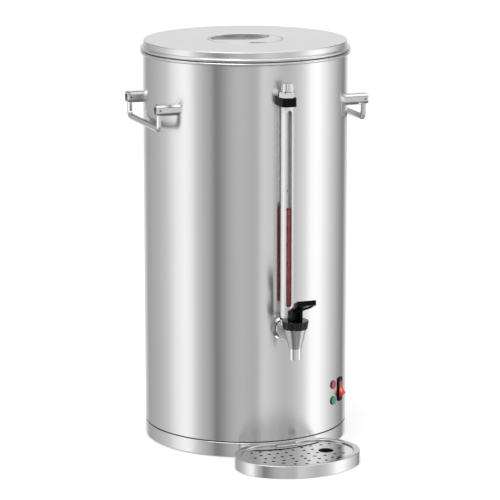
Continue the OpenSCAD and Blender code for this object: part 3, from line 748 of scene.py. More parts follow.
class URN_OT_base(Operator):
    """Make the base band, its seam painted dark as shade, and the rubber foot"""
    bl_idname = "urn.base"
    bl_label = "Base"

    def execute(self, context):
        s = measures(context.scene.urn_body)
        inner = s.radius - s.sheet
        spigot = inner - 1.0
        spigot_top = s.band_top + s.seam + 4.0
        lip_high, lip_low, lip_in = 4.0, 2.8, 126.0
        profile = [
            (s.radius, s.band_low + 0.4), (s.radius, s.band_top - 0.35), (s.radius - 0.35, s.band_top),
            (inner, s.band_top), (inner, spigot_top), (spigot, spigot_top), (spigot, lip_high),
            (lip_in, lip_high), (lip_in, lip_low), (inner, lip_low), (inner, s.band_low),
            (s.radius - 0.4, s.band_low)]
        band = finished("base_band_ring", lathe(profile, steps=256), ["base_band"],
                        accents=["black_rubber"])
        # The steel spigot's faces in the open seam take black rubber: painted shade of the seam.
        accent(band, lambda middle, normal: middle.z > s.band_top + 0.01 and abs(normal.z) < 0.5)
        foot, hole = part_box("foot_ring")[1] / MM, 112.0
        ring = tube(hole, foot.x, 0.0, foot.z, steps=192)
        finished("foot", soften(ring, 0.8), ["foot_ring"])
        return {'FINISHED'}


# ---- Lid ----

class URN_OT_lid(Operator):
    """Make the lid's disc, recess and grip plate"""
    bl_idname = "urn.lid"
    bl_label = "Lid"

    def execute(self, context):
        s = measures(context.scene.urn_lid)
        self.cover(s)
        self.dish(s)
        self.plate(s)
        return {'FINISHED'}

    def cover(self, s):
        """The disc, its skirt and the rolled lip below it."""
        sheet, lip, skirt, groove = 1.0, 2.2, 12.6, 0.25
        low = s.top - skirt
        lip_x, lip_z = s.lip - lip, low + lip
        bend_x, bend_z = s.disc - s.bend, s.top - s.bend
        profile = [(s.recess, s.top - sheet), (s.recess, s.top - groove), (s.recess + groove, s.top)]
        profile += arc(bend_x, bend_z, s.bend, 90, 0, 6)
        profile += [(s.disc, lip_z + 1.6)]
        profile += arc(lip_x, lip_z, lip, 118, -90, 14)
        profile += [(s.disc - sheet, low), (s.disc - sheet, bend_z)]
        profile += arc(bend_x, bend_z, s.bend - sheet, 0, 90, 3)
        finished("lid_disc", lathe(profile, steps=256), ["lid_cover"])

    def dish(self, s):
        """The round finger recess under the grip plate."""
        sheet, corner, edge = 1.0, 7.0, 0.3
        inner = s.recess - sheet
        floor = s.recess_floor + sheet
        profile = [(s.recess - 0.2, s.top), (s.recess, s.top - edge), (s.recess, s.recess_floor + corner)]
        profile += arc(inner - corner, s.recess_floor + corner, corner + sheet, 0, -90, 6)[1:-1]
        profile += [(inner - corner, s.recess_floor), (0, s.recess_floor), (0, floor)]
        profile += arc(inner - corner, floor + corner, corner, -90, 0, 8)
        profile += [(inner, s.top - edge), (inner + 0.2, s.top)]
        finished("lid_dish", lathe(profile, steps=160), ["lid_grip_dish"])

    def opening(self, s, grow, low, high):
        """The finger opening as a solid: straight in front, with a wide bend at its right end."""
        ledge, bend_x = 4.0, -3.0
        reach = s.recess - ledge + grow
        edge = -s.grip_edge - grow
        corner = 5.0 + grow
        bend = s.grip_bend + grow
        left = -math.sqrt((reach - corner) ** 2 - (edge + corner) ** 2)
        outline = arc(bend_x, edge + bend, bend, -90, 20, 16)
        outline += [(bend_x + bend * 0.9, reach), (left - corner, reach), (left - corner, edge + corner)]
        outline += arc(left, edge + corner, corner, 180, 270, 6)
        return common(prism(outline, low, high), column(reach, low - 1, high + 1, steps=128))

    def plate(self, s):
        """The flush plate with the finger opening, a lip round it and a slot at its front edge."""
        sheet, lip, gap = 1.2, 4.0, 1.7
        slot_left, slot_right, slot_back, slot_edge = 6, 29, -35.0, 4
        disc = column(s.recess - gap, s.top - sheet, s.top, steps=128)
        slot = common(block((slot_left, -60, s.top - 5), (slot_right, slot_back, s.top + 5)),
                      column(s.recess - slot_edge, s.top - 3, s.top + 3, steps=128))
        skirt = self.opening(s, 1.0, s.top - lip, s.top - 0.2)
        whole = minus(plus(disc, skirt), self.opening(s, 0.0, s.top - lip - 3, s.top + 3), slot)
        soften(whole, 0.45, steps=3)
        finished("grip_plate", spun(whole, s.turned), ["lid_grip_plate"])


# ---- Handles ----

class URN_OT_handles(Operator):
    """Make the posts, pins and bails of both handles"""
    bl_idname = "urn.handles"
    bl_label = "Handles"

    def execute(self, context):
        s = measures(context.scene.urn_handles)
        pin_inset = 4.7
        s.pin_x = s.end - pin_inset
        s.places = {"front": s.middle - s.span / 2, "rear": s.middle + s.span / 2}
        for side, sign in (("left", -1), ("right", 1)):
            for end, y in s.places.items():
                self.post(s, side, sign, end, y)
            self.bail(s, side, sign)
        pins = [self.pin(s, sign, y) for sign in (-1, 1) for y in s.places.values()]
        finished("pivot_pins", joined(*pins), ["bail_pins"])
        return {'FINISHED'}

    def mirrored(self, bm, sign):
        return turned(bm, Matrix.Scale(sign, 4, (1, 0, 0)))

    def axle(self, s, y, half, radius, steps=48):
        """A rod on the line of the pivot pins."""
        return rod((s.pin_x, y - half, s.pivot), (s.pin_x, y + half, s.pivot), radius, steps)

    def post(self, s, side, sign, end, y):
        """A bar with wide bevels, a fine groove beside each face painted dark as shade, and a fork at its
        end.
        """
        shoulder, nose, snub, hidden, long = 4.3, 1.8, 3.0, 106.0, 80
        wide, tall = s.post_width / 2, s.post_height / 2
        side_view = [(y + a, s.pivot + b) for a, b in round_rect(s.post_width, s.post_height, shoulder, 1)]
        bar = facing_side(prism(side_view, hidden, s.end))
        middle = s.end - long / 2
        plan = [(middle + a, y + b) for a, b in round_rect(long, s.post_width, nose)]
        bar = common(bar, prism(plan, s.pivot - 20, s.pivot + 20))
        front_view = [(middle + a, s.pivot + b) for a, b in round_rect(long, s.post_height, snub)]
        bar = common(bar, facing_front(prism(front_view, y - 20, y + 20)))
        soften(bar, 0.5, steps=3)

        fork_start, fork_roof, play = 138.8, 3.6, 0.25
        gap = s.bar_width / 2 + play
        fork = block((fork_start, y - gap, s.pivot - 20), (160, y + gap, s.pivot + fork_roof))
        recess, deep = 2.1, 0.4
        rings = minus(self.axle(s, y, 20, recess, steps=32),
                      block((100, y - wide + deep, 0), (200, y + wide - deep, 600)))
        line, on_side, on_top = 0.3, (tall - shoulder + 0.5, 1.1), (tall - 0.6, shoulder + 0.2)
        lines = [block((100, y + across * wide - depth, s.pivot + up * z - line),
                       (200, y + across * wide + depth, s.pivot + up * z + line))
                 for across in (-1, 1) for up in (-1, 1) for z, depth in (on_side, on_top)]
        bar = minus(bar, fork, rings, joined(*lines))

        # The grooves' faces take dark_pin: painted shade that draws a dark line beside each face.
        def painted_shade_line(middle, normal):
            up, out = abs(middle.z - s.pivot), abs(middle.y - y)
            return abs(middle.x) < s.end - 1 and any(
                abs(up - z) < line + 0.02 and out < wide - (depth - 1.0) for z, depth in (on_side, on_top))

        stud = finished(side + "_" + end + "_stud", self.mirrored(bar, sign), [side + "_" + end + "_post"],
                        accents=["dark_pin"])
        accent(stud, painted_shade_line)

    def pin(self, s, sign, y):
        half, radius = s.post_width / 2 + 0.15, 1.5
        return self.mirrored(soften(self.axle(s, y, half, radius, steps=24), 0.35, steps=3), sign)

    def bail(self, s, side, sign):
        """A U-shaped bar that hangs from the pins, with grooves for the fingers whose walls are painted dark
        as shade.
        """
        low, corner, inner_corner, pin_hole = s.pivot - s.drop, 9.0, 4.0, 1.56
        width = s.span + s.bar_width
        half, inner = width / 2, width / 2 - s.bar_width
        outside = [(half, s.pivot)] + arc(half - corner, low + corner, corner, 0, -90, 10)
        inside = arc(inner - inner_corner, low + s.bar_width + inner_corner, inner_corner, -90, 0, 8)
        inside.append((inner, s.pivot))
        outline = mirrored_outline(outside) + [(-a, b) for a, b in reversed(inside)] + inside
        outline = [(s.middle + a, b) for a, b in outline]
        bar = facing_side(prism(outline, s.pin_x - s.bar_depth / 2, s.pin_x + s.bar_depth / 2))

        # The bar is thicker while its bevels are cut, so that they come out wider than deep
        thicker, bevel, edge = 1.5, 2.2, 0.25
        centre = Matrix.Translation((s.pin_x, 0, 0))
        for factor, cut, steps, angle in ((thicker, bevel, 1, 32), (1 / thicker, edge, 2, 28)):
            turned(bar, centre @ Matrix.Scale(factor, 4, (1, 0, 0)) @ centre.inverted())
            soften(bar, cut, steps, angle)

        ends = s.places.values()
        bar = plus(bar, *[self.axle(s, y, s.bar_width / 2, s.bar_depth / 2) for y in ends])
        bar = minus(bar, *[self.axle(s, y, 10, pin_hole, steps=24) for y in ends])
        bar = minus(bar, self.grooves(s, low + s.bar_width, width))
        ready = finished(side + "_handle_bail", self.mirrored(bar, sign), [side + "_bail"], sharp=25,
                         accents=["dark_pin"])
        # The walls of the finger grooves take dark_pin: painted shade in the grooves.
        top, reach = low + s.bar_width, s.span / 2 - s.bar_width / 2 - 4
        accent(ready, lambda middle, normal: (abs(middle.y - s.middle) < reach
                                              and top - 2.5 < middle.z < top - 0.1
                                              and abs(normal.y) > 0.2))

    def grooves(self, s, top, width):
        """Slanted grooves across the top of the crossbar."""
        count, margin, wide, deep, lean = 15, 15.0, 3.4, 1.5, math.radians(28)
        run = width - 2 * margin
        cuts = []
        for i in range(count):
            y = s.middle - run / 2 + run * i / (count - 1)
            cut = turned(block((-6, -wide / 2, -deep), (6, wide / 2, 8)), Matrix.Rotation(lean, 4, 'X'))
            cuts.append(moved(cut, (s.pin_x, y, top)))
        return joined(*cuts)


# ---- Sight gauge ----

class URN_OT_gauge(Operator):
    """Make the sight gauge from its bracket to its shield"""
    bl_idname = "urn.gauge"
    bl_label = "Sight gauge"

    def execute(self, context):
        s = measures(context.scene.urn_gauge)
        s.axis = Vector((0, -s.distance, 0))
        self.shield(s)
        self.glass(s)
        self.coffee(s)
        self.marks(s)
        self.bracket(s)
        self.nut(s)
        self.cap(s)
        return {'FINISHED'}

    def shield(self, s):
        wall = 1.2
        sleeve = tube(s.shield - wall, s.shield, *heights("gauge_shield"))
        centre = (s.slot_low + s.slot_high) / 2
        window = round_rect(s.slot, s.slot_high - s.slot_low, s.slot / 2 - 0.01, 10)
        sleeve = minus(sleeve, facing_front(prism([(a, b + centre) for a, b in window], -20, 20)))
        finished("gauge_sleeve", moved(soften(sleeve, 0.3, angle=40), s.axis), ["gauge_shield"])

    def glass(self, s):
        wall = 0.22
        pipe = tube(s.glass - wall, s.glass, *heights("gauge_glass"), steps=64)
        finished("glass_tube", moved(pipe, s.axis), ["gauge_glass"])

    def coffee(self, s):
        """The column, as wide as it looks through the thick glass."""
        low, radius = heights("gauge_liquid")[0], s.glass - 0.28
        meniscus = [(radius, s.level), (radius - 0.5, s.level - 0.7), (radius - 1.6, s.level - 1.2),
                    (0, s.level - 1.4)]
        filled = lathe([(0, low), (radius, low)] + meniscus, steps=64)
        finished("coffee_column", moved(filled, s.axis), ["gauge_liquid"])

    def marks(self, s):
        """Short level marks on the glass, at the left edge of the window."""
        start, sweep = Matrix.Rotation(math.radians(-122), 3, 'Z'), math.radians(20)
        first, thick, tall = s.slot_low + 33.3, 0.05, 1.4
        inside, outside = s.glass - thick, s.glass + thick
        strips = []
        for i in range(s.marks):
            low = first + i * s.mark_pitch
            corners = [(inside, low), (outside, low), (outside, low + tall), (inside, low + tall)]
            bm = bmesh.new()
            face = bm.faces.new([bm.verts.new(start @ Vector((r, 0, z))) for r, z in corners])
            bmesh.ops.spin(bm, geom=[face], cent=(0, 0, 0), axis=(0, 0, 1), angle=sweep, steps=6,
                           use_merge=False, use_duplicate=False)
            strips.append(tidy(bm))
        finished("level_marks", moved(joined(*strips), s.axis), [], slot="black_plastic", body="urn")

    def bracket(self, s):
        """A clamp between the body's wall and the glass, split at its left."""
        low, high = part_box("gauge_bracket")
        half, front = high.x / MM, low.y / MM
        depth, wall, split = 60, 134.6, 0.25
        outline = [(a, front + depth / 2 + b) for a, b in round_rect(2 * half, depth, 4, 8)]
        clamp = minus(prism(outline, low.z / MM, high.z / MM), column(wall, 0, 600, steps=256),
                      column(s.glass + 0.1, 400, 600, at=(0, -s.distance)),
                      block((-20, -s.distance - split, 400), (-s.glass, -s.distance + split, 600)))
        finished("gauge_clamp", soften(clamp, 0.7, steps=3), ["gauge_bracket"])

    def nut(self, s):
        low, high = heights("gauge_nut")
        corner, facing, foot, head = 10.7, math.radians(21), 12.2, 9.9
        hexagon = spun(column(corner, low, high, steps=6), facing)
        chamfer = lathe([(0, low - 1), (foot, low - 1), (foot, low + 0.4), (head, high), (0, high)])
        nut = minus(common(hexagon, chamfer), column(s.glass + 0.1, low - 5, high + 5))
        finished("gauge_hex_nut", moved(soften(nut, 0.25), s.axis), ["gauge_nut"])

    def cap(self, s):
        """A tapered screw cap with flutes, open at the top by a small vent."""
        low, high = heights("gauge_cap")
        flutes, flute, foot, head, vent = 12, 1.3, 7.9, 7.0, 1.2
        lean = math.atan2(foot - head, high - low)
        cap = lathe([(0, low), (foot, low), (head, high - 0.4), (head - 0.9, high), (head - 1.6, high - 0.1),
                     (0, high - 0.15)])

        def cutter():
            start, end = (foot + 0.6, 0, 1.4), (foot + 0.6 - 12 * math.sin(lean), 0, 14)
            return moved(rod(start, end, flute, steps=20), (0, 0, low))

        cap = minus(cap, ring_of(cutter, flutes), column(vent, high - 2, high + 2, steps=24),
                    column(s.glass + 0.5, low - 2, low + 5))
        finished("gauge_top_cap", moved(soften(cap, 0.2), s.axis), ["gauge_cap"])


# ---- Tap ----

class URN_OT_tap(Operator):
    """Make the tap's casting, collar and lever"""
    bl_idname = "urn.tap"
    bl_label = "Tap"

    def execute(self, context):
        s = measures(context.scene.urn_tap)
        s.axis = Vector((0, -s.distance, 0))
        self.flange(s)
        self.gaskets(s)
        self.casting(s)
        self.collar(s)
        self.lever(s)
        self.pin(s)
        return {'FINISHED'}

    def flange(self, s):
        """A wall plate with a sloping face and a recess for the gasket, turned round the shank's axis."""
        back, front, radius, hole, recess, seat = 129.5, 142.0, 15.5, 10.2, 12.65, 140.5
        flat, slope, wall = 0.55, 1.19, 134.5
        edge = front - (radius - recess - flat) / slope
        plate = lathe([(hole, back), (radius, back), (radius, edge), (recess + flat, front), (recess, front),
                       (recess, seat), (hole, seat)])
        plate = minus(moved(forwards(plate), (0, 0, s.height)), column(wall, 100, 250, steps=256))
        finished("tap_wall_plate", soften(plate, 0.5, steps=3), ["tap_flange"], finish="satin_steel")

    def gaskets(self, s):
        """A washer on each side of the wall, with its radius and where it starts and ends."""
        bore, rings = 9.9, ((12.6, 140.5, 142.0), (15.9, 119.2, 121.7))
        washers = [soften(forwards(tube(bore, *ring, steps=64)), 0.3) for ring in rings]
        finished("tap_washers", moved(joined(*washers), (0, 0, s.height)), ["tap_gaskets"])

    def casting(self, s):
        """Shank, gauge seat, tapered valve body and spout in one casting."""
        thread, shank, seat, neck, taper_head = 9.9, 12.0, 9.2, 12.8, 14.5
        taper_foot, neck_top, seat_top = 157.0, 190.4, 189.7
        cavity, cavity_foot, bore = 10.5, 168.0, s.spout - 2.2
        seat_hole, seat_floor, play = 5.6, 183, 0.05
        seat_y, bar_end, tail_start, tail_end = -152.5, -142, -143, -111
        y, foot = -s.distance, s.collar_foot
        profile = [(bore, s.spout_foot), (s.spout - 0.5, s.spout_foot), (s.spout, s.spout_foot + 0.5),
                   (s.spout, taper_foot - 0.6), (s.spout + 0.25, taper_foot + 0.8),
                   (taper_head - 0.15, foot - 0.9), (taper_head, foot - 0.2), (taper_head - 0.2, foot),
                   (neck, foot), (neck, neck_top), (cavity, neck_top), (cavity, cavity_foot),
                   (bore, cavity_foot)]
        valve = moved(lathe(profile), s.axis)
        bar = rod((0, y, s.height), (0, bar_end, s.height), shank, steps=64)
        tail = rod((0, tail_start, s.height), (0, tail_end, s.height), thread, steps=64)
        post = lathe([(0, s.height + 1), (seat, s.height + 1), (seat, seat_top - 0.5), (seat - 0.5, seat_top),
                      (seat_hole, seat_top), (seat_hole, seat_floor), (0, seat_floor)], steps=64)
        moved(post, (0, seat_y, 0))
        collar_room = lathe([(0, foot - 0.4), (s.collar + 0.5, foot - 0.4), (s.collar + 0.5, 200), (0, 200)])
        arm = soften(plus(minus(bar, moved(collar_room, s.axis)), tail, post), 0.4)
        hollow = lathe([(0, 100), (bore - play, 100), (bore - play, cavity_foot + 0.1),
                        (cavity + play, cavity_foot + 0.1), (cavity + play, 240), (0, 240)])
        finished("tap_casting", plus(valve, minus(arm, moved(hollow, s.axis))), ["tap_body"])

    def collar(self, s):
        """The fluted screw collar that holds the stem."""
        height, flare, flute = 10.75, 1.5, 2.6
        bore, neck, neck_top = 2.56, 12.9, 190.6
        foot, top, foot_radius = s.collar_foot, s.collar_foot + height, s.collar - flare
        ring = lathe([(neck, foot), (foot_radius, foot), (s.collar, top - 0.5), (s.collar - 0.5, top),
                      (bore, top), (bore, neck_top), (neck, neck_top)], steps=112)

        def cutter():
            leaning = Matrix.Rotation(math.atan2(flare, height), 4, 'Y')
            return moved(turned(column(flute, -3, 17, steps=20), leaning), (foot_radius + 1.2, 0, foot))

        ring = minus(ring, ring_of(cutter, s.flutes))
        finished("tap_fluted_collar", moved(soften(ring, 0.35), s.axis), ["tap_collar"],
                 finish="glossy_black")

    def lever(self, s):
        """A hub over the stem, a neck and a wide paddle that is hollow underneath."""
        hub, foot, foot_round, hub_back, hub_front = 7.0, 194.2, 2.5, 7.8, -8.3
        side = [(hub_back, foot), (hub_back, 204.6), (-4, 211), (hub_front, 213.3),
                (hub_front, foot + foot_round)]
        side += arc(hub_front + foot_round, foot + foot_round, foot_round, 180, 270, 6)[1:]
        hub_part = facing_side(prism(side, -hub, hub))

        neck_low, tip_low, tip_high, overhang = 206.6, 221.8, 228.2, 0.6
        half = s.paddle / 2
        edge = [(6.2, -3), (6.2, -12), (7.6, -16.5), (10.6, -20.5), (12, -24), (half, -s.reach - 2)]
        side = [(-3, neck_low), (hub_front, neck_low), (-s.reach - overhang, tip_low), (-s.reach, tip_high),
                (-23, 221.2), (-4, 211)]
        paddle = common(facing_side(prism(side, -30, 30)), prism(mirrored_outline(edge), 150, 260))

        wall, skin, pocket_start = 1.8, 1.3, -12
        pocket_end = -s.reach + wall
        rise = (tip_low - neck_low) / (s.reach + overhang + hub_front)
        side = [(pocket_start, 190), (pocket_end, 190)]
        side += [(y, neck_low + (hub_front - y) * rise + skin) for y in (pocket_end, pocket_start)]
        edge = [(max(a - wall, 0.5), b) for a, b in edge[1:-1]] + [(half - wall, pocket_end)]
        pocket = common(facing_side(prism(side, -30, 30)), prism(mirrored_outline(edge), 150, 260))

        stem_slot = block((-3.7, -20, foot - 5), (3.7, 4, s.pivot + 3.8))
        whole = minus(plus(minus(paddle, pocket), hub_part), stem_slot)
        finished("tap_handle", moved(soften(whole, 0.6, steps=3), s.axis), ["tap_lever"])

    def pin(self, s):
        half, radius = 6.95, 1.5
        axle = rod((-half, -s.distance, s.pivot), (half, -s.distance, s.pivot), radius, steps=24)
        finished("handle_pin", soften(axle, 0.3), ["lever_pin"])


# ---- Controls ----

class URN_OT_lamps(Operator):
    """Make the two signal lamps"""
    bl_idname = "urn.lamps"
    bl_label = "Lamps"

    def execute(self, context):
        s = measures(context.scene.urn_controls)
        wall = measures(context.scene.urn_body).radius
        barrel, tail, back, skirt, front, edge = 5.0, -20.0, -1.0, 0.9, 1.7, 0.8
        profile = [(0, tail), (barrel, tail), (barrel, back), (s.lens, back), (s.lens, skirt)]
        profile += arc(s.lens - edge, front - edge, edge, 10, 90, 5)
        profile += [(s.lens - 1.5, front - 0.05), (s.lens - 1.8, front - 0.3), (s.lens - 2.6, front - 0.12),
                    (1.8, front), (0, front)]
        outwards, facing = Vector((math.sin(s.lamp_angle), -math.cos(s.lamp_angle), 0)), 0.75
        for name, node, height in (("upper_lens", "red_lamp", s.lamp_high),
                                   ("lower_lens", "green_lamp", s.lamp_low)):
            lens = around(forwards(lathe(profile, steps=64)), s.lamp_angle, height, wall)
            lamp = finished(name, lens, [node], accents=[SLOT_OF[node] + "_edge"])
            # Faces that don't look outwards, the lens's skirt and rounded rim, take the darker copy: painted
            # shade.
            accent(lamp, lambda middle, normal: normal.dot(outwards) < facing)
        return {'FINISHED'}


class URN_OT_switch(Operator):
    """Make the rocker switch and its bezel"""
    bl_idname = "urn.switch"
    bl_label = "Switch"

    def execute(self, context):
        s = measures(context.scene.urn_controls)
        wall = measures(context.scene.urn_body).radius
        back, front, corner, key_half, play = -1.8, 0.9, 2.5, 4.9, 0.3
        bezel = facing_front(prism(round_rect(s.bezel_width, s.bezel_height, corner), back, front))
        housing = plus(bezel, block((-5.8, 0, -13.8), (5.8, 20, 13.8)))
        housing = minus(housing, block((-key_half - play, -5, -12.5), (key_half + play, 11, 12.5)))
        soften(housing, 0.45, steps=3)
        finished("switch_bezel", around(housing, s.switch_angle, s.switch_height, wall), ["switch_housing"])

        half, pivot_in, tilt, dip, crest = 8.9, 3.0, math.radians(-16), 2.0, -8.0
        side = [(crest + dip * math.cos(math.pi / 8 * i), half * i / 4) for i in range(-4, 5)]
        side += [(-4, 11.6), (-1, 12.2), (4, 5), (4, -5), (-1, -12.2), (-4, -11.6)]
        key = soften(facing_side(prism(side, -key_half, key_half)), 0.5, steps=3)
        turned(key, Matrix.Rotation(tilt, 4, 'X'))
        moved(key, (0, pivot_in, 0))
        finished("switch_key", around(key, s.switch_angle, s.switch_height, wall), ["switch_rocker"])
        return {'FINISHED'}


class URN_OT_inlet(Operator):
    """Make the appliance inlet at the back"""
    bl_idname = "urn.inlet"
    bl_label = "Inlet"

    def execute(self, context):
        s = measures(context.scene.urn_controls)
        wall = measures(context.scene.urn_body).radius
        wide, tall, corner, screw_x = 48, 27, 5, 20
        face = facing_front(prism(round_rect(wide, tall, corner), -3, 3.2))
        face = minus(face, moved(column(wall - 0.4, -40, 40, steps=256), (0, wall, 0)))
        shroud = block((-13.8, -0.5, -10), (13.8, 22, 10))
        well = facing_front(prism(round_rect(24.6, 17.2, 2.5), -5, 16))
        inlet = soften(minus(plus(face, shroud), well), 0.5)
        finished("inlet_socket", around(inlet, math.pi, s.inlet_height, wall), ["power_inlet"])
        screws = joined(*[moved(self.screw(), (x, 0, 0)) for x in (-screw_x, screw_x)])
        finished("inlet_fixings", around(screws, math.pi, s.inlet_height, wall), ["inlet_screws"])
        return {'FINISHED'}

    def screw(self):
        """A domed head with a cross slot."""
        radius, dome, lift, slot, slot_floor = 2.8, 3.7, 3.1, 0.35, 3.9
        head = lathe([(0, -3), (radius, -3), (radius, 0.2)] + arc(0, -2.2, dome, 40, 88, 5) + [(0, 1.5)],
                     steps=32)
        head = minus(moved(head, (0, 0, lift)), block((-2, -slot, slot_floor), (2, slot, 6)),
                     block((-slot, -2, slot_floor), (slot, 2, 6)))
        return forwards(head)


# ---- Drip tray ----

class TrayOutline:
    """Four arcs that make an oval, with a bay at the rear that hugs the body."""

    def __init__(self, s, body_radius):
        self.end, self.distance, self.bay = s.end_radius, s.distance, body_radius + s.gap
        self.ends = s.half_width - s.end_radius
        rise = s.half_depth - s.end_radius
        self.drop = (self.ends ** 2 - rise ** 2) / (2 * rise)
        self.side = s.half_depth + self.drop
        self.joint = math.degrees(math.atan2(self.drop, self.ends))

    def points(self, inset):
        """The outline about the tray's own centre, moved in, with as many points for every inset."""
        end, side, bay = self.end - inset, self.side - inset, self.bay + inset
        gap = math.hypot(self.ends, self.distance)
        heading = math.degrees(math.atan2(self.distance, -self.ends))
        reach = math.degrees(math.acos((end ** 2 + gap ** 2 - bay ** 2) / (2 * end * gap)))
        right_end = arc(self.ends, 0, end, -self.joint, 180 - heading + reach, 40)
        front = arc(0, self.drop, side, self.joint - 180, -self.joint, 40)
        left_end = [(-x, y) for x, y in reversed(right_end)]
        tip_x, tip_y = right_end[-1]
        start = math.degrees(math.atan2(tip_y - self.distance, tip_x))
        back = arc(0, self.distance, bay, start, -180 - start, 40)
        return front + right_end[1:] + back[1:-1] + left_end[:-1]


def swept(outline, section):
    """Bridges loops of an outline, one for each (inset, height) of a closed section.

    Every other loop stands a hair higher, because two loops at one height can be bridged crosswise.
    """
    bm = bmesh.new()
    loops, hair = [], 0.02
    for i, (inset, height) in enumerate(section):
        verts = [bm.verts.new((x, y, height + hair * (i % 2))) for x, y in outline.points(inset)]
        loops.append([bm.edges.new(pair) for pair in zip(verts, verts[1:] + verts[:1])])
    for first, second in zip(loops, loops[1:] + loops[:1]):
        bmesh.ops.bridge_loops(bm, edges=first + second)
    return tidy(bm)


class URN_OT_tray(Operator):
    """Make the drip tray and its drain plate"""
    bl_idname = "urn.tray"
    bl_label = "Drip tray"

    def execute(self, context):
        s = measures(context.scene.urn_tray)
        outline = TrayOutline(s, measures(context.scene.urn_body).radius)
        self.pan(s, outline)
        self.plate(s, outline)
        return {'FINISHED'}

    def pan(self, s, outline):
        """A pan of sheet metal with a rolled edge, a flat rim and a ledge for the plate, its floor painted
        dark as shade.
        """
        sheet, foot, floor, edge = 1.2, 0.6, 1.5, 0.4
        ledge, inner = s.height - 4.4, s.rim + 1
        section = [(0, foot + 0.3), (0, s.height - sheet)]
        section += [(sheet - x, s.height - sheet + y) for x, y in arc(0, 0, sheet, 30, 90, 3)]
        section += [(s.rim - edge, s.height), (s.rim, s.height - edge), (s.rim, ledge + sheet),
                    (inner + 3, ledge + sheet), (inner + 3, ledge), (inner - 0.6, ledge),
                    (inner - 0.6, s.height - sheet), (sheet, s.height - sheet), (sheet, floor + sheet),
                    (sheet, floor), (sheet, foot), (0.3, foot)]
        bottom = prism(outline.points(sheet - 0.2), floor, floor + sheet)
        whole = moved(joined(swept(outline, section), bottom), (0, -s.distance, 0))
        basin = finished("tray_basin", spun(whole, s.turned), ["tray_pan"], accents=["dark_pin"])
        # The pan's floor takes dark_pin: painted shade under the drain plate.
        accent(basin, lambda middle, normal: normal.z > 0.9 and floor < middle.z < ledge - 2)

    def plate(self, s, outline):
        """The drain plate: rings of holes, a row at each end, and a larger hole for a finger."""
        low, high = heights("drip_plate")
        clearance, edge = 1.4, 5
        rings, end_radius, end_turns = [(48.5, 20), (37, 14), (26, 10), (14.5, 6)], 59.5, (-22, 0, 22)
        finger, finger_radius, finger_room = Vector((39, -3)), 10.0, 15
        body_edge = outline.bay + s.rim + clearance + edge

        def spot(radius, angle, side=1):
            return Vector((side * radius * math.cos(angle), radius * math.sin(angle)))

        def hole(at, radius, steps):
            return column(radius, low - 3, high + 3, steps, at=(at.x, at.y - s.distance))

        places = [spot(radius, FULL_TURN * (i + 0.5) / count)
                  for radius, count in rings for i in range(count)]
        places = [at for at in places if (at - finger).length > finger_room
                  and (at - Vector((0, s.distance))).length > body_edge]
        places += [spot(end_radius, math.radians(angle), side) for side in (-1, 1) for angle in end_turns]
        cutters = [hole(at, s.hole, 20) for at in places] + [hole(finger, finger_radius, 64)]
        sheet = moved(prism(outline.points(s.rim + clearance), low, high), (0, -s.distance, 0))
        sheet = minus(sheet, joined(*cutters))
        finished("drain_plate", spun(soften(sheet, 0.28, angle=50), s.turned), ["drip_plate"])


# ---- Stage ----

# Brightness round the urn by direction in degrees, as seen from the camera's side: soft boxes to the
# left and right, dim screens between them and a bright wall behind the urn
STUDIO = [
    (-180, 0.90), (-160, 0.80), (-148, 0.42), (-118, 0.58), (-100, 0.74), (-88, 1.05), (-72, 1.28),
    (-65, 1.18), (-56, 0.76), (-46, 0.56), (-38, 0.46), (-34, 0.20), (-27, 0.34), (-17, 0.54),
    (-6, 0.64), (11, 0.55), (15, 0.62), (19, 0.88), (28, 0.80), (45, 0.62), (58, 0.70), (72, 0.98),
    (79, 1.36), (92, 1.40), (99, 1.20), (113, 0.84), (131, 0.47), (146, 0.24), (160, 0.80), (180, 0.90)]
BRIGHTEST = 1.4
# How much of that brightness is left at a height, from straight down at -1 to straight up at 1
UPRIGHT = [(-1.0, 0.40), (-0.62, 0.45), (-0.42, 1.0), (0.33, 1.0), (0.41, 0.35), (0.54, 0.35), (0.60, 1.0)]
# Brightness straight above, and the heights between which it takes over
OVERHEAD, OVERHEAD_START, OVERHEAD_FULL = 1.2, 0.56, 0.72


def grey(level):
    return (level, level, level)


def build_world(stage):
    """Soft studio surroundings; the camera itself sees plain white."""
    world = bpy.data.worlds.new("studio")
    world.use_nodes = True
    world.node_tree.nodes.clear()
    nodes = Nodes(world.node_tree)
    direction = nodes.output("Vector", "Mapping", {
        "Vector": nodes.output("Generated", "TexCoord"), "Rotation": (0, 0, stage.heading)},
        vector_type='VECTOR')
    parts = nodes.node("SeparateXYZ", {"Vector": direction})
    height = parts.outputs["Z"]
    azimuth = nodes.math('ARCTAN2', parts.outputs["X"], nodes.math('MULTIPLY', parts.outputs["Y"], -1))
    screens = [((degrees + 180) / 360, grey(level / BRIGHTEST)) for degrees, level in STUDIO]
    rows = [((z + 1) / 2, grey(level)) for z, level in UPRIGHT]
    walls = nodes.output("Result", "Mix", {
        "Factor": 1, "A": nodes.ramp(nodes.within(azimuth, -math.pi, math.pi), screens),
        "B": nodes.ramp(nodes.within(height, -1, 1), rows)}, data_type='RGBA', blend_type='MULTIPLY')
    room = nodes.output("Result", "Mix", {
        "Factor": nodes.within(height, OVERHEAD_START, OVERHEAD_FULL), "A": walls,
        "B": (*grey(OVERHEAD / BRIGHTEST), 1)}, data_type='RGBA')
    final = nodes.output("Shader", "MixShader", {
        "Fac": nodes.output("Is Camera Ray", "LightPath"),
        1: nodes.output("Background", "Background", {"Color": room, "Strength": BRIGHTEST}),
        2: nodes.output("Background", "Background", {"Color": (1, 1, 1, 1)})})
    nodes.node("OutputWorld", {"Surface": final})
    bpy.context.scene.world = world


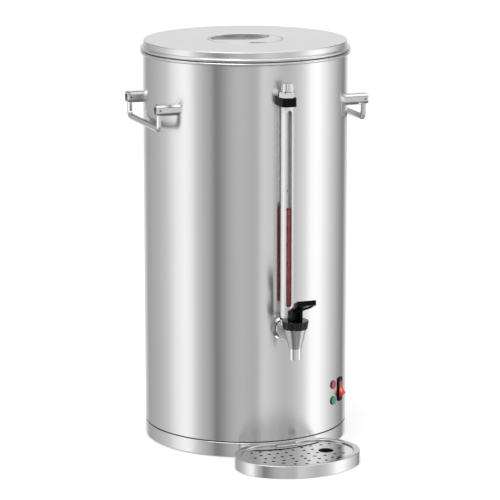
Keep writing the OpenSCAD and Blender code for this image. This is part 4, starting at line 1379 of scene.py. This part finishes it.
def build_floor():
    """A pale round floor that takes the urn's shadow."""
    bm = bmesh.new()
    bmesh.ops.create_circle(bm, cap_ends=True, segments=96, radius=6.0)
    floor = linked("floor", mesh_of(bm, "floor"))
    floor.visible_glossy = False
    finish = Finish("pale_floor", (0.80, 0.80, 0.80), 1.0, {"Specular IOR Level": 0.0})
    finish.vary_colour(finish.noise(2.0), 0.01)
    lift = 0.34
    glow = finish.output("Emission", "Emission", {
        "Strength": finish.math('MULTIPLY', finish.output("Is Camera Ray", "LightPath"), lift)})
    both = finish.output("Shader", "AddShader", {0: finish.shader.outputs["BSDF"], 1: glow})
    finish.feed(finish.tree.nodes["Material Output"], "Surface", both)
    floor.data.materials.append(finish.material)


def build_camera(stage):
    data = bpy.data.cameras.new("camera")
    data.lens = stage.lens
    data.sensor_width = 36.0
    data.clip_end = 50.0
    camera = linked("camera", data)
    camera.location = stage.camera
    camera.rotation_euler = (math.pi / 2 - stage.tilt, 0, -stage.heading)
    bpy.context.scene.camera = camera


def build_key_light(stage):
    data = bpy.data.lights.new("key", 'AREA')
    data.shape = 'DISK'
    data.size = 1.6
    data.energy = stage.key
    light = linked("key", data)
    light.location = (-0.9, -0.7, 2.3)
    aim = Vector((0, 0, 0.2)) - light.location
    light.rotation_euler = aim.to_track_quat('-Z', 'Y').to_euler()
    light.visible_camera = False


class URN_OT_stage(Operator):
    """Make the floor, the light and the camera"""
    bl_idname = "urn.stage"
    bl_label = "Stage"

    def execute(self, context):
        stage = context.scene.urn_stage
        context.scene.view_settings.view_transform = 'Standard'
        build_world(stage)
        build_floor()
        build_camera(stage)
        build_key_light(stage)
        return {'FINISHED'}


class URN_PT_pieces(Panel):
    """Lists the urn's operators"""
    bl_label = "Coffee Urn"
    bl_idname = "URN_PT_pieces"
    bl_space_type = 'VIEW_3D'
    bl_region_type = 'UI'
    bl_category = "Coffee Urn"

    def draw(self, context):
        for operator in OPERATORS:
            self.layout.operator(operator.bl_idname)
        for name, group in GROUPS.items():
            box = self.layout.box()
            box.label(text=group.__doc__)
            for prop in group.__annotations__:
                box.prop(getattr(context.scene, name), prop)


OPERATORS = (URN_OT_stage, URN_OT_finishes, URN_OT_shell, URN_OT_base, URN_OT_lid, URN_OT_handles,
             URN_OT_gauge, URN_OT_tap, URN_OT_lamps, URN_OT_switch, URN_OT_inlet, URN_OT_tray)


def register():
    for group in GROUPS.values():
        bpy.utils.register_class(group)
    for operator in OPERATORS:
        bpy.utils.register_class(operator)
    bpy.utils.register_class(URN_PT_pieces)
    for name, group in GROUPS.items():
        setattr(bpy.types.Scene, name, PointerProperty(type=group))


def unregister():
    for name in GROUPS:
        delattr(bpy.types.Scene, name)
    bpy.utils.unregister_class(URN_PT_pieces)
    for operator in reversed(OPERATORS):
        bpy.utils.unregister_class(operator)
    for group in reversed(list(GROUPS.values())):
        bpy.utils.unregister_class(group)


def main():
    register()
    for operator in OPERATORS:
        group, name = operator.bl_idname.split(".")
        getattr(getattr(bpy.ops, group), name)()


if __name__ == "__main__":
    main()
